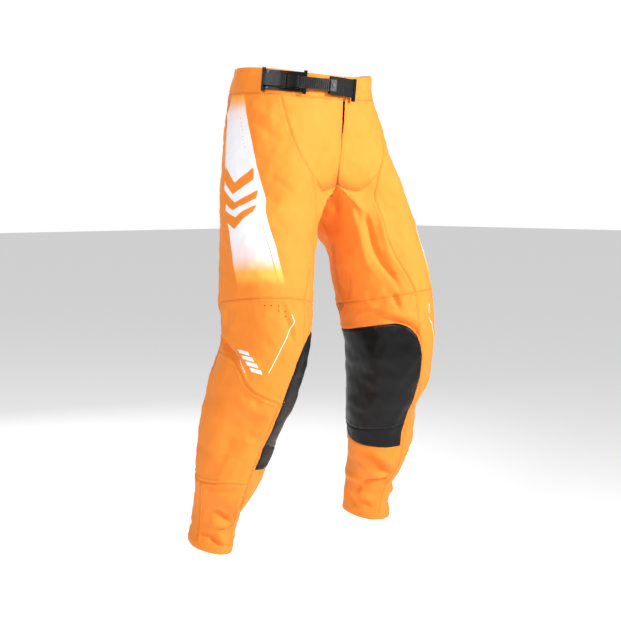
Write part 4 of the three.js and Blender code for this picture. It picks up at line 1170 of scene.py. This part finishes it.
def cloth_material(name, printed=False):
    look = Look(name, 0.72, Sheen_Weight=0.12, Sheen_Roughness=0.45, Sheen_Tint=(1, 0.75, 0.4, 1),
                Specular_IOR_Level=0.3)
    colour, fine = cloth_colour(look, ORANGE, ORANGE_DEEP)
    look.feed("Base Color", printed_colour(look, colour) if printed else colour)
    weave = look.math("MULTIPLY", *look.waves(metre_map(look), (0, 1), (THREAD_WAVE, THREAD_WAVE)))
    look.bump(look.math("MULTIPLY_ADD", fine, 0.8, weave), 0.00012, 0.6)
    return look.material


def stretch_material():
    look = Look("stretch_cloth", 0.85, Sheen_Weight=0.2, Specular_IOR_Level=0.2)
    colour, _ = cloth_colour(look, STRETCH_ORANGE, STRETCH_DEEP)
    x, y = look.waves(metre_map(look), (0, 1), (RIB_WAVE, RIB_WAVE / 4))
    ribs = look.math("MULTIPLY_ADD", y, 0.25, x)
    # Painted shade: the valleys between the ribs are darkened, as if in shade.
    valley = look.math("MULTIPLY", look.invert(look.ramp(ribs, -1.2, 0.4)), 0.5)
    look.feed("Base Color", look.mix(valley, colour, RIB_PAINTED_SHADE))
    look.bump(ribs, 0.0004, 0.8)
    return look.material


def leather_material(name, grain, roughness):
    """Leather with pores and a cell grain, and painted shade in the pores; a low grain makes it nearly
    smooth.
    """
    look = Look(name, roughness, Specular_IOR_Level=0.24)
    place = look.place()
    cells = look.node("TexVoronoi", {"Vector": place, "Scale": 620.0}, feature="DISTANCE_TO_EDGE")
    holes = look.node("TexVoronoi", {"Vector": place, "Scale": 240.0, "Randomness": 0.15})
    cloudy = look.noise(30.0, 5.0)
    pore = look.ramp(holes.outputs["Distance"], 0.08, 0.3)
    colour = look.mix(look.math("MULTIPLY", cloudy, 0.6), LEATHER_DARK, LEATHER_LIGHT)
    # Painted shade: the pore hollows are darkened, as if in shade.
    painted_pore_shade = look.math("MULTIPLY", look.invert(pore), grain)
    look.feed("Base Color", look.mix(painted_pore_shade, colour, PORE_PAINTED_SHADE))
    look.feed("Roughness", look.spread(cloudy, roughness - 0.08, roughness + 0.12))
    cell = look.math("MULTIPLY", look.ramp(cells.outputs["Distance"], 0.0, 0.25), 0.7)
    look.bump(look.math("MULTIPLY_ADD", pore, grain, cell), 0.0001, 0.8)
    return look.material


def moulded_material(name, dark, light, roughness, coat=0.0):
    look = Look(name, roughness, Coat_Weight=coat, Coat_Roughness=0.15, Specular_IOR_Level=0.15)
    wear, scratch = look.noise(90.0, 6.0, Roughness=0.7), look.noise(160.0, 2.0, Distortion=2.5)
    look.feed("Base Color", look.mix(look.ramp(wear, 0.45, 0.8), dark, light))
    look.feed("Roughness", look.spread(scratch, roughness - 0.1, roughness + 0.2))
    look.bump(look.noise(1500.0, 3.0), 0.00008, 0.5)
    return look.material


def steel_material():
    look = Look("steel", 0.35, Metallic=1.0)
    stretch = look.node("Mapping", {"Vector": look.place()})
    stretch.inputs["Scale"].default_value = (60, 60, 2200)
    values = {"Vector": stretch.outputs[0], "Scale": 1.0, "Detail": 4.0}
    brushed = look.node("TexNoise", values).outputs["Fac"]
    look.feed("Base Color", look.mix(brushed, (0.03, 0.03, 0.032), (0.07, 0.07, 0.075)))
    look.feed("Roughness", look.spread(brushed, 0.25, 0.5))
    look.bump(brushed, 0.00005, 0.4)
    return look.material


def webbing_material(name, dark, light):
    """Plain woven tape, on object coordinates, for pieces without UVs."""
    look = Look(name, 0.8, Specular_IOR_Level=0.12)
    threads = look.math("MULTIPLY", *look.waves(look.place(), (0, 2), (TAPE_WAVE, TAPE_WAVE)))
    look.feed("Base Color", look.mix(look.noise(300.0, 4.0), dark, light))
    look.bump(threads, 0.00008, 0.7)
    return look.material


def ink_material(name, colour, deep, roughness=0.5):
    """Ink or thread: a little uneven, with a fine tooth."""
    look = Look(name, roughness, Specular_IOR_Level=0.35)
    noise = look.noise(700.0, 3.0)
    look.feed("Base Color", look.mix(noise, colour, deep))
    look.bump(noise, 0.00008, 0.6)
    return look.material


MATERIALS = {
    "orange_cloth": cloth_material("orange_cloth"),
    "printed_cloth": cloth_material("printed_cloth", printed=True),
    "stretch_cloth": stretch_material(),
    "leather": leather_material("leather", 1.0, 0.36),
    "smooth_leather": leather_material("smooth_leather", 0.15, 0.5),
    "black_plastic": moulded_material("black_plastic", (0.002, 0.002, 0.002), (0.006, 0.006, 0.006),
                                      0.38, 0.06),
    "grey_plastic": moulded_material("grey_plastic", (0.022, 0.022, 0.023), (0.042, 0.042, 0.045), 0.38),
    "clamp_grey": moulded_material("clamp_grey", (0.06, 0.06, 0.063), (0.1, 0.1, 0.105), 0.45),
    "soft_black": moulded_material("soft_black", (0.006, 0.006, 0.0065), (0.012, 0.012, 0.013), 0.6),
    "steel": steel_material(),
    "black_cloth": webbing_material("black_cloth", (0.003, 0.003, 0.003), (0.009, 0.009, 0.01)),
    "orange_thread": ink_material("orange_thread", (0.95, 0.36, 0.05), (0.75, 0.22, 0.02), 0.6),
    "black_thread": ink_material("black_thread", (0.02, 0.02, 0.021), (0.008, 0.008, 0.009), 0.45),
    "white_print": ink_material("white_print", (0.88, 0.88, 0.88), (0.78, 0.77, 0.76), 0.4),
    "orange_print": ink_material("orange_print", (0.9, 0.33, 0.05), (0.8, 0.26, 0.03)),
    "vent": ink_material("vent", (0.02, 0.006, 0.003), (0.008, 0.003, 0.002), 0.8),
}

# ---- the hard parts ----

HARD_PARTS = {
    "black_plastic": ["buckle_base", "ratchet_lever", "release_lever", "zip_teeth_left", "zip_teeth_right",
                      "zip_slider", "zip_puller"],
    "grey_plastic": ["drive_pawl", "ladder_strap"],
    "clamp_grey": ["clamp_plate"],
    "steel": [*(f"buckle_rivet_{k}" for k in (1, 2, 3, 4)), "lever_pin", "release_pin", "clamp_screw",
              "zip_stop"],
    "soft_black": ["strap_tab"],
}
ROUNDING = {"black_plastic": 0.00045, "grey_plastic": 0.0003, "clamp_grey": 0.0003, "steel": 0.0002,
            "soft_black": 0.0004}


def finish_hard_parts():
    for look, names in HARD_PARTS.items():
        for name in names:
            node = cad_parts[name]
            node.data.materials.clear()
            node.data.materials.append(MATERIALS[look])
            edge = node.modifiers.new("edge", "BEVEL")
            edge.width = ROUNDING[look]
            edge.segments = 2
            edge.limit_method = "ANGLE"
            edge.angle_limit = math.radians(35)


# The closure's own circle, as in the CAD.
CLOSURE_MIDDLE = np.array([-1.4, 44.3, -25.1]) * MM
CLOSURE_LEAN = Vector((0.064, -0.051, 1)).normalized()
CLOSURE_TURN = Vector((0, 0, 1)).rotation_difference(CLOSURE_LEAN)
CLOSURE_RADIUS = 0.1724
TAB_FACE = 0.00402
TAB_SEWN = (-5.2, 6.3, 14.5 * MM)  # from and to, in degrees along the closure, and half the height


def closure_point(angle, height, out):
    """A point of the closure: degrees towards the wearer's right, height, and how far out."""
    radius = CLOSURE_RADIUS + out
    a = math.radians(angle)
    local = Vector((-radius * math.sin(a), -radius * math.cos(a), height))
    return np.array(CLOSURE_TURN @ local) + CLOSURE_MIDDLE


def closure_row(start, end, out):
    """A row of thread on the tab between two (angle, height) points."""
    t = np.linspace(0, 1, 60)
    angles = start[0] + (end[0] - start[0]) * t
    heights = start[1] + (end[1] - start[1]) * t
    points = np.array([closure_point(a, h, out) for a, h in zip(angles, heights)])
    way = np.concatenate([[0], np.cumsum(np.linalg.norm(np.diff(points, axis=0), axis=1))])
    spots = np.linspace(0, way[-1], max(2, int(way[-1] / STITCH_PITCH)))
    laid = np.stack([np.interp(spots, way, points[:, k]) for k in range(3)], -1)
    along = np.gradient(laid, axis=0)
    along /= np.linalg.norm(along, axis=1, keepdims=True)
    up = [CLOSURE_TURN @ Vector((-math.sin(a), -math.cos(a), 0))
          for a in np.radians(np.interp(spots, way, angles))]
    return laid, along, np.array(up)


def add_tab_stitching():
    """A box with a cross in it, sewn through the tab."""
    low, high, half = TAB_SEWN
    a, b, c, d = (low, -half), (high, -half), (high, half), (low, half)
    rows = [(a, b), (b, c), (c, d), (d, a), (a, c), (b, d)]
    made = [stitch_mesh(*closure_row(start, end, TAB_FACE)) for start, end in rows]
    add_parts("tab_stitching", made, "black_thread", "black_plastic", "strap")


# ---- the cloth behind the fly ----

SHIELD_DEPTH = 0.014
SHIELD_TOP, SHIELD_FOOT = 1.05, 3.3
ZIP_TOP = np.array([0, -112.3, -66]) * MM
ZIP_LEAN = math.atan(0.0885)
ZIP_LENGTH = 0.128
TAPE = (0.0033, 0.015)  # from and to, beside the middle of the teeth
TAPE_CLOTH = 0.0008
WALE, TWILL = 0.0029, 0.0018


def add_woven(name, node, points, faces, thickness, shift):
    """A black woven piece with thickness, in place of a plain solid."""
    piece = add_mesh(name, points, faces)
    thicken(piece, thickness, shift)
    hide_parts(node)
    finish_piece(piece, "black_cloth")


def add_fly_shield():
    """The shield runs across the middle, a little wavy, with a turned hem at each side."""
    rows, columns = 90, 41
    s = np.repeat(np.linspace(SHIELD_TOP, SHIELD_FOOT, rows), columns)
    share = np.tile(np.linspace(-1, 1, columns), rows)
    middle = np.abs(share) < 1e-9
    u = np.abs(share) * np.interp(s, (SHIELD_TOP, SHIELD_FOOT), (0.045, 0.03))
    base, out = surface(u, s), normals(u, s)
    out[middle, 0] = 0
    hem = 0.0004 * np.exp(-(((np.abs(share) - 0.9) / 0.04) ** 2))
    points = base + out * (hem + 0.2 * drape(base) - SHIELD_DEPTH)[:, None]
    points[:, 0] *= np.where(share < 0, -1, 1)
    points[middle, 0] = 0
    add_woven("woven_fly_shield", "fly_shield", points, grid_faces(rows, columns), 0.0015, -1)


def add_zip_tapes():
    """Herringbone tapes at each side of the teeth."""
    rows, columns = 215, 21
    c, s = math.cos(ZIP_LEAN), math.sin(ZIP_LEAN)
    for side, sign in (("left", 1), ("right", -1)):
        x, z = np.meshgrid(np.linspace(*TAPE, columns), np.linspace(0, -ZIP_LENGTH, rows))
        wale = np.abs(((x - TAPE[0]) / WALE) % 1 - 0.5)
        y = -0.00012 * np.sin((z / TWILL + wale * 2) * 2 * math.pi)
        points = np.stack([sign * x, y * c - z * s, y * s + z * c], -1).reshape(-1, 3) + ZIP_TOP
        faces = grid_faces(rows, columns)
        if side == "right":
            faces = faces[:, ::-1]
        add_woven(f"woven_zip_tape_{side}", f"zip_tape_{side}", points, faces, TAPE_CLOTH, 0)


# ---- the studio ----

TARGET = Vector((0.0110, -0.0096, -0.478))
DISTANCE = 2.7
AZIMUTH, ELEVATION = math.radians(-41), math.radians(5)
LENS = 76.37
FLOOR_Z, FLOOR_HALF = -1.25, 30
FILL = 0.14  # strength of the world's light
LIGHTS = [  # name, place, what it points at, size, power in watts, spread in degrees
    ("key", (1.0, -3.0, 0.9), (0.05, 0, -0.05), 0.7, 31, 75),
    ("side", (-2.7, -1.5, 0.7), (0, 0, -0.2), 0.9, 15, 90),
    ("top", (0, 0.3, 3.2), (0, 0, -0.5), 2.0, 40, 180),
    ("back", (0.8, 3.0, 0.6), (0, 0, -0.4), 1.2, 26, 180),
]


def look_at(made, spot, target):
    made.location = spot
    made.rotation_euler = (Vector(target) - Vector(spot)).to_track_quat("-Z", "Y").to_euler()


def add_camera():
    camera = bpy.data.objects.new("camera", bpy.data.cameras.new("camera"))
    bpy.context.scene.collection.objects.link(camera)
    flat = math.cos(ELEVATION)
    way = Vector((math.sin(AZIMUTH) * flat, -math.cos(AZIMUTH) * flat, math.sin(ELEVATION)))
    look_at(camera, TARGET + way * DISTANCE, TARGET)
    camera.data.lens = LENS
    camera.data.sensor_width = 36
    bpy.context.scene.camera = camera


def add_lights():
    for name, spot, target, size, power, spread in LIGHTS:
        light = bpy.data.lights.new(name, "AREA")
        light.size = size
        light.energy = power
        light.spread = math.radians(spread)
        made = bpy.data.objects.new(name, light)
        bpy.context.scene.collection.objects.link(made)
        look_at(made, Vector(spot), target)


def add_world():
    """A white backdrop for what is seen directly, and a weaker fill for all other light."""
    world = bpy.data.worlds.new("studio")
    world.use_nodes = True
    nodes, links = world.node_tree.nodes, world.node_tree.links
    shown, fill = nodes["Background"], nodes.new("ShaderNodeBackground")
    for background, strength in ((shown, 1.0), (fill, FILL)):
        background.inputs["Color"].default_value = (1, 1, 1, 1)
        background.inputs["Strength"].default_value = strength
    choice, ray = nodes.new("ShaderNodeMixShader"), nodes.new("ShaderNodeLightPath")
    links.new(ray.outputs["Is Camera Ray"], choice.inputs[0])
    links.new(fill.outputs[0], choice.inputs[1])
    links.new(shown.outputs[0], choice.inputs[2])
    links.new(choice.outputs[0], nodes["World Output"].inputs[0])
    bpy.context.scene.world = world


def add_floor():
    corners = [(-1, -1), (1, -1), (1, 1), (-1, 1)]
    floor = add_mesh("floor", [(x * FLOOR_HALF, y * FLOOR_HALF, 0) for x, y in corners], [(0, 1, 2, 3)])
    floor.location.z = FLOOR_Z
    look = Look("floor", 0.9, Base_Color=(0.9, 0.9, 0.9, 1), Emission_Color=(1, 1, 1, 1),
                Emission_Strength=0.5)
    floor.data.materials.append(look.material)


build_panels()
TREES = {side: skin_tree(side) for side in SKIN}
for side in SKIN:
    add_stitches(f"stitching_{side}", orange_rows(), side, "orange_thread")
    add_stitches(f"stitching_leather_{side}", leather_rows(), side, "black_thread")
    add_prints(side)
add_stitches("stitching_front_right", waist_rows(0.004) + fly_rows(), "right", "orange_thread")
add_stitches("stitching_front_left", front_left_rows(), "left", "orange_thread", "both")
finish_hard_parts()
add_fly_shield()
add_zip_tapes()
add_tab_stitching()
bpy.context.scene.view_settings.view_transform = "Standard"
add_camera()
add_lights()
add_world()
add_floor()

bpy.context.view_layer.update()
